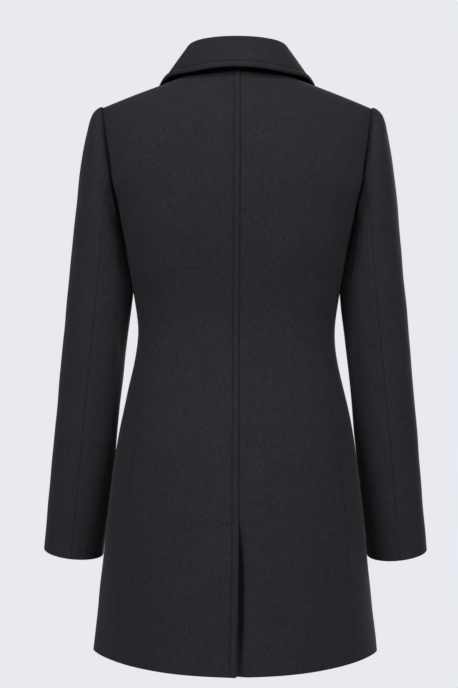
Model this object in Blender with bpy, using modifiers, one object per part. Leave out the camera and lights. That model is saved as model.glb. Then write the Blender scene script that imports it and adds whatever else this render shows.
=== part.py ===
"""A single-breasted wool coat, filled out as it is worn, with no wearer inside.

Every piece of cloth is a closed wall between an outer and an inner face. Metres, +Z up. The origin is the
middle of the neck, level with the neck ends of the shoulder seams. The back faces -Y, the front faces +Y,
and +X is the wearer's right.

The body is one surface, reached by two numbers. The angle runs from the centre back (0) past the side line
(half pi) to the centre front (pi). The level is the height up to the chest. Above the chest it is how far
the surface has rolled over towards the ridge of the shoulder. Panels are patches of it between seams.
"""

import math
from typing import NamedTuple

import bmesh
import bpy
import numpy as np

COAT = "single_breasted_coat"

# Cloth
WALL = 0.0024
COLLAR_WALL = 0.0021
SEAM_GAP = 0.0003
LAYER_GAP = 0.0006

# Heights of the body
HEM_Z = -0.800
VENT_TOP_Z = -0.600
BREAK_Z = -0.270
CHEST_Z = -0.140
SHOULDER_Z = -0.0425
NECK_Z = -0.0035
BACK_NECK_Z = -0.0005

# Shoulder and neck
SHOULDER_X = 0.1880
NECK_X = 0.080
SHOULDER_SLOPE = (NECK_Z - SHOULDER_Z) / (SHOULDER_X - NECK_X)
BACK_ROLL = 2.5
FRONT_ROLL = 1.5
YOKE_LEVELS = 0.110

# Armhole, an oval seen from the side
ARMHOLE_Z = -0.133
ARMHOLE_RISE = SHOULDER_Z - ARMHOLE_Z
ARMHOLE_BACK = 0.0625
ARMHOLE_SKEW = math.radians(12)
ARMHOLE_FRONT = 0.055
ARMHOLE_JOIN = math.radians(130)

# Front edge, roll line and lapel of the wearer's right front
OVERLAP = 0.024
GORGE_X, GORGE_Z = 0.062, -0.038
NOTCH_SHARE = 0.62
COLLAR_TIP_X, COLLAR_TIP_Z = 0.123, -0.062
LAPEL_TIP_X, LAPEL_TIP_Z = 0.128, -0.094
LAPEL_BELLY = 0.012
LAPEL_ROLL = 0.0030
LAPEL_START = 0.007
LEFT_LAPEL_START_Z = -0.231
INSET_FULL_X, INSET_END_X = 0.030, 0.095

# Centre back seam and the vent below it, where the left back lies over the right
CENTRE_SEAM_X = 0.0042
VENT_SWING = 0.0038
VENT_UNDERLAP = 0.042
VENT_SLANT_TOP_Z, VENT_SLANT_END_Z = -0.611, -0.648
VENT_DIP = 0.0045
VENT_DIP_START, VENT_DIP_END = 0.012, 0.034

# Collar
FOLD_RADIUS = 0.0040
COLLAR_LIFT = 0.0006
COLLAR_CLEAR = COLLAR_WALL + SEAM_GAP + 0.0008
FALL_BELLY = -0.0010

# Buttons, a row down the centre front
BUTTON_Z = (-0.295, -0.400, -0.505)
BUTTON_RADIUS = 0.0125
BUTTON_HEIGHT = 0.0040
BUTTON_HOLE_RADIUS = 0.0012
BUTTON_HOLE_PITCH = 0.0032
BUTTON_FOOT_RADIUS = 0.88 * BUTTON_RADIUS

# Steps of the grids
HEM_TO_VENT_STEPS = 5
VENT_TO_BREAK_STEPS = 8
BREAK_TO_JOIN_STEPS = 2
ARMHOLE_STEPS = 10
UNDERARM_STEPS = 6
NECK_STEPS = 6
FRONT_NECK_STEPS = 4
SHOULDER_STEPS = 6
BACK_SEAM_STEP = 8
FRONT_SEAM_STEP = 9


class Ring(NamedTuple):
    """A level section of the body. Powers of 2 make it an ellipse.

    A larger flatness flattens the centre back and front, and a smaller pinch points the side line.
    """

    z: float
    half_width: float
    back: float
    front: float
    flatness: float
    pinch: float


BODY_RINGS = (
    Ring(HEM_Z, 0.1990, 0.1660, 0.1380, 2.17, 1.32),
    Ring(-0.680, 0.1858, 0.1520, 0.1300, 2.14, 1.60),
    Ring(-0.560, 0.1730, 0.1350, 0.1230, 2.12, 1.86),
    Ring(-0.495, 0.1634, 0.1215, 0.1175, 2.10, 1.98),
    Ring(-0.445, 0.1531, 0.1075, 0.1120, 2.10, 2.05),
    Ring(-0.395, 0.1417, 0.0955, 0.1075, 2.10, 2.10),
    Ring(-0.355, 0.1375, 0.0910, 0.1075, 2.12, 2.12),
    Ring(-0.300, 0.1432, 0.0960, 0.1190, 2.30, 2.30),
    Ring(-0.260, 0.1500, 0.1040, 0.1275, 2.60, 2.60),
    Ring(-0.225, 0.1560, 0.1110, 0.1305, 2.75, 2.75),
    Ring(-0.180, 0.1745, 0.1170, 0.1285, 2.45, 2.45),
    Ring(CHEST_Z, 0.1920, 0.1190, 0.1240, 2.28, 2.28),
)


class SeamPoint(NamedTuple):
    """Where a long body seam lies at one height, as an angle round the body in degrees."""

    z: float
    angle: float


SIDE_BACK_SEAM = (
    SeamPoint(HEM_Z, 52.5),
    SeamPoint(-0.700, 54.0),
    SeamPoint(-0.560, 55.0),
    SeamPoint(-0.440, 57.0),
    SeamPoint(-0.356, 69.0),
    SeamPoint(-0.300, 71.0),
)
SIDE_FRONT_SEAM = (
    SeamPoint(HEM_Z, 118.0),
    SeamPoint(-0.560, 117.0),
    SeamPoint(-0.356, 115.0),
    SeamPoint(-0.270, 112.0),
)


class SleeveRing(NamedTuple):
    """A section of the right sleeve: outermost and innermost point, depth, bow and two seams in degrees."""

    outer_x: float
    outer_z: float
    inner_x: float
    inner_z: float
    middle_y: float
    half_depth: float
    bow: float
    back_seam: float
    front_seam: float


SLEEVE_RINGS = (
    SleeveRing(0.1925, -0.0416, 0.1568, -0.2295, 0.000, 0.0590, 0.0050, 105.0, 243.0),
    SleeveRing(0.1985, -0.0460, 0.1561, -0.2330, 0.000, 0.0605, 0.0058, 104.5, 243.0),
    SleeveRing(0.2036, -0.0535, 0.1553, -0.2370, 0.000, 0.0612, 0.0058, 104.0, 243.0),
    SleeveRing(0.2087, -0.0720, 0.1542, -0.2425, 0.000, 0.0620, 0.0052, 104.0, 244.0),
    SleeveRing(0.2142, -0.1000, 0.1527, -0.2510, 0.000, 0.0625, 0.0050, 103.0, 245.0),
    SleeveRing(0.2203, -0.1420, 0.1501, -0.2650, 0.000, 0.0620, 0.0045, 99.5, 246.0),
    SleeveRing(0.2259, -0.1980, 0.1458, -0.2890, 0.000, 0.0600, 0.0030, 95.0, 247.0),
    SleeveRing(0.2308, -0.2500, 0.1464, -0.3120, 0.000, 0.0580, 0.0020, 92.5, 248.0),
    SleeveRing(0.2370, -0.3120, 0.1496, -0.3440, 0.000, 0.0560, 0.0010, 92.0, 249.0),
    SleeveRing(0.2433, -0.3800, 0.1552, -0.3930, 0.001, 0.0545, 0.0, 91.0, 250.0),
    SleeveRing(0.2501, -0.4500, 0.1628, -0.4600, 0.004, 0.0530, 0.0, 90.0, 250.0),
    SleeveRing(0.2567, -0.5200, 0.1695, -0.5290, 0.009, 0.0512, 0.0, 90.0, 250.0),
    SleeveRing(0.2635, -0.5900, 0.1784, -0.6000, 0.015, 0.0496, 0.0, 91.0, 250.0),
    SleeveRing(0.2704, -0.6605, 0.1866, -0.6705, 0.022, 0.0480, 0.0, 92.0, 250.0),
)


class CollarStation(NamedTuple):
    """The collar's fold and edge at a place along the neck seam, 0 at the centre back and 1 at the gorge."""

    along: float
    fold_x: float
    fold_y: float
    fold_z: float
    edge_x: float
    edge_y: float
    edge_z: float


COLLAR_STATIONS = (
    CollarStation(0.00, 0.0000, -0.0690, 0.0428, 0.0000, -0.0895, -0.0018),
    CollarStation(0.125, 0.0225, -0.0652, 0.0429, 0.0330, -0.0835, -0.0028),
    CollarStation(0.25, 0.0430, -0.0530, 0.0428, 0.0640, -0.0630, -0.0042),
    CollarStation(0.50, 0.0665, -0.0060, 0.0405, 0.1008, -0.0070, -0.0048),
    CollarStation(0.75, 0.0650, 0.0310, 0.0150, 0.1180, 0.0400, -0.0320),
    CollarStation(1.00, 0.0610, 0.0650, -0.0300, COLLAR_TIP_X, 0.0660, COLLAR_TIP_Z),
)


class Finish(NamedTuple):
    """Colour, roughness and metallic value of a material."""

    colour: tuple
    roughness: float
    metallic: float


WOOL = Finish((0.027, 0.025, 0.030, 1.0), 0.92, 0.0)
HORN = Finish((0.012, 0.011, 0.012, 1.0), 0.35, 0.0)


# Numbers

def column(table, name):
    return np.array([getattr(row, name) for row in table])


def spline(knots, values, at, last_slope=None):
    """A smooth cubic through the knots, straight at its first end and, with no last_slope, at its last."""
    gaps = np.diff(knots)
    rises = np.diff(values) / gaps
    size = len(knots)
    bends = np.eye(size)
    wanted = np.zeros(size)
    for i in range(1, size - 1):
        bends[i, i - 1 : i + 2] = gaps[i - 1], 2 * (gaps[i - 1] + gaps[i]), gaps[i]
        wanted[i] = 6 * (rises[i] - rises[i - 1])
    if last_slope is not None:
        bends[-1, -2:] = gaps[-1], 2 * gaps[-1]
        wanted[-1] = 6 * (last_slope - rises[-1])
    curve = np.linalg.solve(bends, wanted)
    i = np.clip(np.searchsorted(knots, at) - 1, 0, size - 2)
    step = at - knots[i]
    slope = rises[i] - gaps[i] * (2 * curve[i] + curve[i + 1]) / 6
    bending = curve[i] / 2 + step * (curve[i + 1] - curve[i]) / (6 * gaps[i])
    return values[i] + step * (slope + step * bending)


def ease(share):
    """0 to 1 with soft ends."""
    share = np.clip(share, 0, 1)
    return share * share * (3 - 2 * share)


def unit(vectors):
    return vectors / np.linalg.norm(vectors, axis=-1, keepdims=True)


# The surface of the body

def ring_value(name, z):
    return spline(column(BODY_RINGS, "z"), column(BODY_RINGS, name), np.minimum(z, CHEST_Z), last_slope=0)


def ring_half(z, rear):
    """Half width, depth, flatness and pinch of the back or front half at height z."""
    depth = np.where(rear, ring_value("back", z), ring_value("front", z))
    return ring_value("half_width", z), depth, ring_value("flatness", z), ring_value("pinch", z)


def ridge_height(x):
    """Height of the shoulder's ridge at a distance x from the centre."""
    return SHOULDER_Z + (SHOULDER_X - x) * SHOULDER_SLOPE


def body_point(angle, level):
    """The point on the outer surface at an angle round the body and a level."""
    angle, level = np.broadcast_arrays(angle, level)
    rear = np.cos(angle) >= 0
    half_width, depth, flatness, pinch = ring_half(level, rear)
    across = half_width * np.abs(np.sin(angle)) ** (2 / flatness)
    out = depth * np.abs(np.cos(angle)) ** (2 / pinch)
    roll = np.where(rear, BACK_ROLL, FRONT_ROLL)
    climb = np.clip((level - CHEST_Z) / YOKE_LEVELS, 0, 1) * math.pi / 2
    risen = CHEST_Z + (ridge_height(across) - CHEST_Z) * np.sin(climb) ** (2 / roll)
    out = out * np.abs(np.cos(climb)) ** (2 / roll)
    height = np.where(level > CHEST_Z, risen, level)
    return np.stack([np.sign(np.sin(angle)) * across, np.where(rear, -out, out), height], axis=-1)


def skin(points):
    """Zero on the body's outer surface, less inside it and more outside."""
    x, y, z = np.abs(points[..., 0]), np.abs(points[..., 1]), points[..., 2]
    rear = points[..., 1] <= 0
    half_width, depth, flatness, pinch = ring_half(z, rear)
    roll = np.where(rear, BACK_ROLL, FRONT_ROLL)
    room = depth * (1 - np.minimum(x / half_width, 0.9999) ** flatness) ** (1 / pinch)
    rise = np.maximum(z - CHEST_Z, 0) / (ridge_height(x) - CHEST_Z)
    below = (x / half_width) ** flatness + (y / depth) ** pinch - 1
    above = (y / room) ** roll + rise**roll - 1
    return np.where(z <= CHEST_Z, below, above)


def outward(points, reach=2e-5):
    """The skin's gradient, as the unit direction out of the body and its steepness."""
    steps = np.eye(3) * reach
    slope = np.stack([(skin(points + s) - skin(points - s)) / (2 * reach) for s in steps], axis=-1)
    steep = np.linalg.norm(slope, axis=-1, keepdims=True)
    return slope / steep, steep[..., 0]


def depth_at(x, z, rear):
    """How far the surface lies from the side line at a distance x from the centre and a height z."""
    half_width, depth, flatness, pinch = ring_half(z, rear)
    room = depth * (1 - np.minimum(x / half_width, 1) ** flatness) ** (1 / pinch)
    roll = np.where(rear, BACK_ROLL, FRONT_ROLL)
    rise = np.clip((z - CHEST_Z) / np.maximum(ridge_height(x) - CHEST_Z, 1e-6), 0, 1)
    return room * (1 - rise**roll) ** (1 / roll)


def place(x, z, rear):
    """Angle and level of the surface point at a distance x from the centre and a height z."""
    half_width, _, flatness, _ = ring_half(z, rear)
    turn = np.sign(x) * np.arcsin(np.clip(np.abs(x) / half_width, 0, 1) ** (flatness / 2))
    roll = np.where(rear, BACK_ROLL, FRONT_ROLL)
    rise = np.clip((z - CHEST_Z) / (ridge_height(np.abs(x)) - CHEST_Z), 0, 1)
    level = CHEST_Z + YOKE_LEVELS * np.arcsin(rise ** (roll / 2)) / (math.pi / 2)
    return np.stack([np.where(rear, turn, math.pi - turn), np.where(z > CHEST_Z, level, z)], axis=-1)


def armhole(turn):
    """Angle and level of the armhole seam. Turn 0 is the shoulder, half pi the back, pi under the arm."""
    turn = np.asarray(turn, float)
    rear = np.sin(turn) >= 0
    z = ARMHOLE_Z + ARMHOLE_RISE * np.cos(turn)
    skewed = turn - ARMHOLE_SKEW * np.sin(math.pi * np.clip(turn / ARMHOLE_JOIN, 0, 1))
    depth = np.where(rear, np.sin(skewed) * ARMHOLE_BACK, -np.sin(turn) * ARMHOLE_FRONT)
    near = np.zeros_like(z)
    far = np.full_like(z, BODY_RINGS[-1].half_width)
    for _ in range(60):
        middle = (near + far) / 2
        deep = depth_at(middle, z, rear) > depth
        near = np.where(deep, middle, near)
        far = np.where(deep, far, middle)
    return place(near, z, rear)


# Seams and edges of the panels, each an array of angle and level from the hem upwards

JOIN_Z = ARMHOLE_Z + ARMHOLE_RISE * math.cos(ARMHOLE_JOIN)
SEAM_LEVELS = np.concatenate(
    [
        np.linspace(HEM_Z, VENT_SLANT_TOP_Z, HEM_TO_VENT_STEPS + 1),
        np.linspace(VENT_TOP_Z, BREAK_Z, VENT_TO_BREAK_STEPS + 1)[1:],
        np.linspace(BREAK_Z, JOIN_Z, BREAK_TO_JOIN_STEPS + 1)[1:],
    ]
)
BACK_ARM_TURNS = np.linspace(ARMHOLE_JOIN, 0, ARMHOLE_STEPS + 1)
UNDERARM_TURNS = np.linspace(ARMHOLE_JOIN, 2 * math.pi - ARMHOLE_JOIN, UNDERARM_STEPS + 1)
FRONT_ARM_TURNS = np.linspace(2 * math.pi - ARMHOLE_JOIN, 2 * math.pi, ARMHOLE_STEPS + 1)


def long_seam(table, join_turn):
    """A seam from the hem to the armhole, which it meets at join_turn."""
    join_angle = armhole(join_turn)[0]
    knots = np.append(column(table, "z"), JOIN_Z)
    angles = np.append(np.radians(column(table, "angle")), join_angle)
    return np.stack([spline(knots, angles, SEAM_LEVELS), SEAM_LEVELS], axis=-1)


def side_back_seam():
    return long_seam(SIDE_BACK_SEAM, ARMHOLE_JOIN)


def side_front_seam():
    return long_seam(SIDE_FRONT_SEAM, 2 * math.pi - ARMHOLE_JOIN)


def back_neck(shares):
    """The neck seam from the centre back, at share 0, to the shoulder, at share 1."""
    x = NECK_X * np.sin(np.asarray(shares) * math.pi / 2)
    z = BACK_NECK_Z + (NECK_Z - BACK_NECK_Z) * (x / NECK_X) ** 2
    return place(x, np.minimum(z, ridge_height(np.abs(x))), True)


def front_neck(shares):
    """The neck seam from the shoulder, at share 0, to the gorge, at share 1."""
    shares = np.asarray(shares)
    x = NECK_X + (GORGE_X - NECK_X) * shares
    z = NECK_Z + (GORGE_Z - NECK_Z) * shares**1.6
    return place(x, np.minimum(z, ridge_height(x)), False)


def shoulder_seam(rear):
    x = np.linspace(NECK_X, SHOULDER_X, SHOULDER_STEPS + 1)
    return place(x, ridge_height(x), rear)


def roll_x(z):
    """The front edge below the break of the lapel, and the roll line above it."""
    share = np.clip((z - BREAK_Z) / (GORGE_Z - BREAK_Z), 0, 1)
    return -OVERLAP + (GORGE_X + OVERLAP) * share


def patch(left, right, top):
    """A grid of angles and levels between two long edges and a top edge, even along the hem."""
    climb = (left[:, 1] - left[0, 1]) / (left[-1, 1] - left[0, 1])
    across = np.linspace(0, 1, len(top))
    grid = left[:, None] * (1 - across)[None, :, None] + right[:, None] * across[None, :, None]
    chord = top[:1] * (1 - across)[:, None] + top[-1:] * across[:, None]
    return grid + (climb**6)[:, None, None] * (top - chord)[None]


def faces_of(grid, lift=0.0, wall=WALL):
    """Outer and inner points of a panel, lifted off the body's surface."""
    points = body_point(grid[..., 0], grid[..., 1])
    normals, _ = outward(points)
    lift = np.broadcast_to(lift, points.shape[:-1])[..., None]
    return points + normals * lift, points + normals * (lift - wall)


def trimmed(faces, sides):
    """The faces with the named sides drawn in by half a seam gap, square to each side."""
    edges = {
        "left": (np.s_[:, 0], np.s_[:, 1]),
        "right": (np.s_[:, -1], np.s_[:, -2]),
        "top": (np.s_[-1], np.s_[-2]),
        "bottom": (np.s_[0], np.s_[1]),
    }
    for face in faces:
        for side in sides:
            edge, beside = edges[side]
            along = unit(np.gradient(face[edge], axis=0))
            inward = face[beside] - face[edge]
            inward = inward - along * np.sum(inward * along, axis=-1, keepdims=True)
            face[edge] += unit(inward) * SEAM_GAP / 2
    return faces


# Solids

def cloth_wall(name, faces, finish, mirrored=False):
    """A grid extruded into a wall, with its two sides placed on the outer and inner points."""
    outer, inner = faces
    rows, columns = outer.shape[:2]
    mesh = bmesh.new()
    cell = mesh.verts.layers.int.new("cell")
    made = bmesh.ops.create_grid(mesh, x_segments=columns - 1, y_segments=rows - 1, size=0.5)["verts"]
    for vertex in made:
        column_index = round((vertex.co.x + 0.5) * (columns - 1))
        row_index = round((vertex.co.y + 0.5) * (rows - 1))
        vertex[cell] = row_index * columns + column_index
    raised = bmesh.ops.extrude_face_region(mesh, geom=mesh.faces[:], use_keep_orig=True)["geom"]
    flip = np.array([-1.0 if mirrored else 1.0, 1.0, 1.0])
    for vertex in made:
        vertex.co = inner.reshape(-1, 3)[vertex[cell]] * flip
    for vertex in (part for part in raised if isinstance(part, bmesh.types.BMVert)):
        vertex.co = outer.reshape(-1, 3)[vertex[cell]] * flip
    bmesh.ops.recalc_face_normals(mesh, faces=mesh.faces[:])
    data = bpy.data.meshes.new(name)
    mesh.to_mesh(data)
    mesh.free()
    data.shade_smooth()
    data.set_sharp_from_angle(angle=math.radians(50))
    return add_object(name, data, finish)


def add_object(name, data, finish):
    data.materials.append(finish)
    item = bpy.data.objects.new(name, data)
    bpy.data.collections[COAT].objects.link(item)
    item.parent = bpy.data.objects[COAT + "_root"]
    return item


def material(name, finish):
    made = bpy.data.materials.new(name)
    made.use_nodes = True
    shader = made.node_tree.nodes["Principled BSDF"]
    shader.inputs["Base Color"].default_value = finish.colour
    shader.inputs["Roughness"].default_value = finish.roughness
    shader.inputs["Metallic"].default_value = finish.metallic
    return made


# Body panels

def vent_share(z):
    """How far down the vent a height is, 0 at its top and 1 at the hem."""
    return np.clip((VENT_TOP_Z - z) / (VENT_TOP_Z - HEM_Z), 0, 1)


def centre_edge(z, mirrored):
    """Where a back panel's centre edge lies: the seam, then the left's vent edge or right's underlap."""
    if mirrored:
        return VENT_SWING * vent_share(z) ** 2 - CENTRE_SEAM_X
    under = np.interp(z, [VENT_SLANT_END_Z, VENT_SLANT_TOP_Z], [1, 0])
    return CENTRE_SEAM_X - (CENTRE_SEAM_X + VENT_UNDERLAP) * under


def vent_sink(x, z):
    """How far the right back sinks to pass under the left's vent edge."""
    deep = np.interp(z, [VENT_SLANT_TOP_Z, VENT_TOP_Z], [1, 0])
    fuller = VENT_DIP * np.sin(math.pi * np.minimum(vent_share(z), 0.85))
    near = 1 - ease((x - VENT_DIP_START) / (VENT_DIP_END - VENT_DIP_START))
    return -(WALL + LAYER_GAP + fuller) * deep * near


def make_back(name, wool, mirrored):
    """A back panel, from the centre seam and vent to the side back seam and the armhole."""
    first = math.asin(CENTRE_SEAM_X / NECK_X) / (math.pi / 2) * (-1 if mirrored else 1)
    neck = back_neck(np.linspace(first, 1, NECK_STEPS + 1))
    levels = np.concatenate([SEAM_LEVELS, np.linspace(JOIN_Z, neck[0, 1], ARMHOLE_STEPS + 1)[1:]])
    centre = np.stack([place(centre_edge(levels, mirrored), levels, True)[:, 0], levels], axis=-1)
    side = np.concatenate([side_back_seam(), armhole(BACK_ARM_TURNS[1:])])
    grid = patch(centre, side, np.concatenate([neck, shoulder_seam(True)[1:]]))
    points = body_point(grid[..., 0], grid[..., 1])
    lift = 0.0 if mirrored else vent_sink(points[..., 0], points[..., 2])
    return cloth_wall(name, trimmed(faces_of(grid, lift), ("left", "right", "top")), wool, mirrored)


def make_side(name, wool, mirrored):
    """A side panel, under the armhole between the side back and side front seams."""
    grid = patch(side_back_seam(), side_front_seam(), armhole(UNDERARM_TURNS))
    return cloth_wall(name, trimmed(faces_of(grid), ("left", "right", "top")), wool, mirrored)


def lap_inset(x):
    """How far the left front drops to pass under the right front."""
    return -(WALL + LAYER_GAP) * (1 - ease((x - INSET_FULL_X) / (INSET_END_X - INSET_FULL_X)))


def make_front(name, wool, mirrored):
    """A front panel, from the front edge and roll line to the side front seam and the armhole."""
    rolls = np.linspace(JOIN_Z, GORGE_Z, ARMHOLE_STEPS - FRONT_NECK_STEPS + 1)[1:]
    edge_z = np.concatenate([SEAM_LEVELS, rolls])
    neck = front_neck(np.linspace(1, 0, FRONT_NECK_STEPS + 1)[1:])
    edge = np.concatenate([place(roll_x(edge_z), edge_z, False), neck])
    side = np.concatenate([side_front_seam(), armhole(FRONT_ARM_TURNS[1:])])
    seam = shoulder_seam(False)
    known = np.linspace(0, 1, len(seam))
    wanted = np.linspace(0, 1, NECK_STEPS + SHOULDER_STEPS + 1)
    top = np.stack([np.interp(wanted, known, values) for values in seam.T], axis=-1)
    grid = patch(edge, side, top)
    points = body_point(grid[..., 0], grid[..., 1])
    lift = lap_inset(points[..., 0]) if mirrored else 0.0
    return cloth_wall(name, trimmed(faces_of(grid, lift), ("right", "top")), wool, mirrored)


# Lapels

def lapel_outer_x(z):
    share = np.clip((z - BREAK_Z) / (LAPEL_TIP_Z - BREAK_Z), 0, 1)
    return -OVERLAP + (LAPEL_TIP_X + OVERLAP) * share + LAPEL_BELLY * np.sin(math.pi * share)


def lapel_inner_x(z, mirrored):
    """The roll line, or for the left lapel the edge of the right front where that covers it."""
    if not mirrored:
        return roll_x(z)
    return np.maximum(roll_x(z), LAYER_GAP * 3 - roll_x(z))


def make_lapel(name, wool, mirrored):
    """A lapel turned back on its front, from the roll line to its outer edge, the notch and the gorge."""
    start = LEFT_LAPEL_START_Z if mirrored else BREAK_Z + LAPEL_START
    inner_z = np.linspace(start, GORGE_Z - LAYER_GAP, 11)
    outer_z = np.linspace(start, LAPEL_TIP_Z, 11)
    inner = np.stack([lapel_inner_x(inner_z, mirrored), inner_z], axis=-1)
    outer = np.stack([lapel_outer_x(outer_z), outer_z], axis=-1)
    gorge = np.array([GORGE_X, GORGE_Z - LAYER_GAP])
    tip = np.array([COLLAR_TIP_X, COLLAR_TIP_Z - LAYER_GAP])
    notch = gorge + (tip - gorge) * NOTCH_SHARE
    top = np.concatenate([np.linspace(gorge, notch, 5), np.linspace(notch, outer[-1], 4)[1:]])
    grid = patch(inner, outer, top)
    share = np.linspace(0, 1, grid.shape[1])
    roll = LAPEL_ROLL * (1 - share) ** 2
    base = lap_inset(grid[..., 0]) if mirrored else 0.0
    lift = base + LAYER_GAP + WALL + roll
    faces = faces_of(place(grid[..., 0], grid[..., 1], False), lift)
    return cloth_wall(name, faces, wool, mirrored)


# Collar

def neck_seam(along):
    """Points of the neck seam, from the centre back (0) past the shoulder (0.5) to the gorge (1)."""
    rear = along[:, None] <= 0.5
    seam = np.where(rear, back_neck(np.minimum(along * 2, 1)), front_neck(np.maximum(along * 2 - 1, 0)))
    return body_point(seam[:, 0], seam[:, 1])


def collar_curve(along, name):
    """A column of the collar's table at places along the neck seam, smooth through the centre back."""
    knots = column(COLLAR_STATIONS, "along")
    values = column(COLLAR_STATIONS, name)
    odd = -1 if name.endswith("_x") else 1
    knots = np.concatenate([-knots[:0:-1], knots])
    values = np.concatenate([odd * values[:0:-1], values])
    return spline(knots, values, along)


def collar_sections():
    """The collar's middle surface: a row for each place along the neck, from its seam to the outer edge."""
    half = np.concatenate(
        [np.linspace(0, 0.5, NECK_STEPS + 1), np.linspace(0.5, 1, FRONT_NECK_STEPS + 1)[1:]]
    )
    base = neck_seam(half) + [0, 0, COLLAR_LIFT]
    fold = np.stack([collar_curve(half, "fold_" + axis) for axis in "xyz"], axis=-1)
    edge = np.stack([collar_curve(half, "edge_" + axis) for axis in "xyz"], axis=-1)
    away = edge - fold
    away[:, 2] = 0
    away = unit(away)
    up = np.array([0.0, 0.0, 1.0])
    rows = []
    for b, f, e, out in zip(base, fold, edge, away):
        turns = np.radians(np.linspace(180, 20, 5))[:, None]
        arc = f - up * FOLD_RADIUS + FOLD_RADIUS * (np.cos(turns) * out + np.sin(turns) * up)
        stand = b + (arc[0] - b) * np.linspace(0, 1, 4)[:-1, None]
        shares = np.linspace(0, 1, 6)[1:, None]
        fall = arc[-1] + (e - arc[-1]) * shares
        fall = fall + FALL_BELLY * np.sin(math.pi * shares) * (out + up)
        rows.append(np.concatenate([stand, arc, fall]))
    half_grid = np.array(rows)
    other = half_grid[:0:-1] * [-1, 1, 1]
    return np.concatenate([other, half_grid])


def grid_normals(grid, round_trip=False):
    """Unit normals of a grid of points, by the directions along its rows and columns."""
    if round_trip:
        wrapped = np.concatenate([grid[:, -1:], grid, grid[:, :1]], axis=1)
        across = (wrapped[:, 2:] - wrapped[:, :-2]) / 2
    else:
        across = np.gradient(grid, axis=1)
    along = np.gradient(grid, axis=0)
    return unit(np.cross(along, across))


def rest_on_body(points, clear):
    """Points nearer the body's surface than clear, moved out to it."""
    normals, steep = outward(points)
    gap = skin(points) / steep
    return points + normals * np.maximum(clear - gap, 0)[..., None]


def make_collar(wool):
    """The under collar and the upper collar, which lies on its outside."""
    middle = collar_sections()
    fall_start = middle.shape[1] - 5
    middle[:, fall_start:] = rest_on_body(middle[:, fall_start:], COLLAR_CLEAR)
    normals = grid_normals(middle)
    if normals[len(middle) // 2, -1, 1] > 0:
        normals = -normals
    gap = SEAM_GAP / 2
    upper = (middle + normals * (gap + COLLAR_WALL), middle + normals * gap)
    under = (middle - normals * gap, middle - normals * (gap + COLLAR_WALL))
    cloth_wall("upper_collar", upper, wool)
    cloth_wall("under_collar", under, wool)


# Sleeves

ARM_TURNS = np.concatenate([BACK_ARM_TURNS[::-1], UNDERARM_TURNS[1:], FRONT_ARM_TURNS[1:-1]])


def sleeve_turns(back_seam, front_seam):
    """The turns of a ring's points, drawn so that the two seams come at the given turns."""
    back_start = ARM_TURNS[BACK_SEAM_STEP]
    front_start = 2 * math.pi - BACK_ARM_TURNS[::-1][FRONT_SEAM_STEP]
    known = [front_start - 2 * math.pi, back_start, front_start, back_start + 2 * math.pi]
    wanted = [front_seam - 2 * math.pi, back_seam, front_seam, back_seam + 2 * math.pi]
    return np.interp(ARM_TURNS, known, wanted)


def sleeve_tube():
    """Outer points of the right sleeve: a row for each ring from the armhole to the cuff."""
    seam = armhole(ARM_TURNS)
    rows = [body_point(seam[:, 0], seam[:, 1])]
    heights = (column(SLEEVE_RINGS, "outer_z") + column(SLEEVE_RINGS, "inner_z")) / 2
    leans = np.gradient(np.maximum(column(SLEEVE_RINGS, "middle_y"), 0), heights)
    for ring, lean in zip(SLEEVE_RINGS, leans):
        turns = sleeve_turns(math.radians(ring.back_seam), math.radians(ring.front_seam))
        outer = np.array([ring.outer_x, ring.middle_y, ring.outer_z])
        inner = np.array([ring.inner_x, ring.middle_y, ring.inner_z])
        reach = np.cos(turns)[:, None] * (outer - inner) / 2
        depth = np.sin(turns)[:, None] * [0, -ring.half_depth, ring.half_depth * lean]
        bow = np.sin(turns)[:, None] ** 2 * [ring.bow, 0, 0]
        rows.append((outer + inner) / 2 + reach + depth + bow)
    return np.array(rows)


def make_sleeve(side, wool, mirrored):
    """The top sleeve, round the outside of the arm, and the under sleeve, next to the body."""
    tube = sleeve_tube()
    normals = grid_normals(tube, round_trip=True)
    if normals[-1, 0, 0] < 0:
        normals = -normals
    inside = tube - normals * WALL
    count = len(ARM_TURNS)
    front_index = count - FRONT_SEAM_STEP
    top = np.arange(front_index - count, BACK_SEAM_STEP + 1)
    under = np.arange(BACK_SEAM_STEP, front_index + 1)
    for name, picked in (("top_sleeve", top), ("under_sleeve", under)):
        faces = trimmed((tube[:, picked], inside[:, picked]), ("left", "right", "bottom"))
        cloth_wall(f"{name}_{side}", faces, wool, mirrored)


# Buttons

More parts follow.
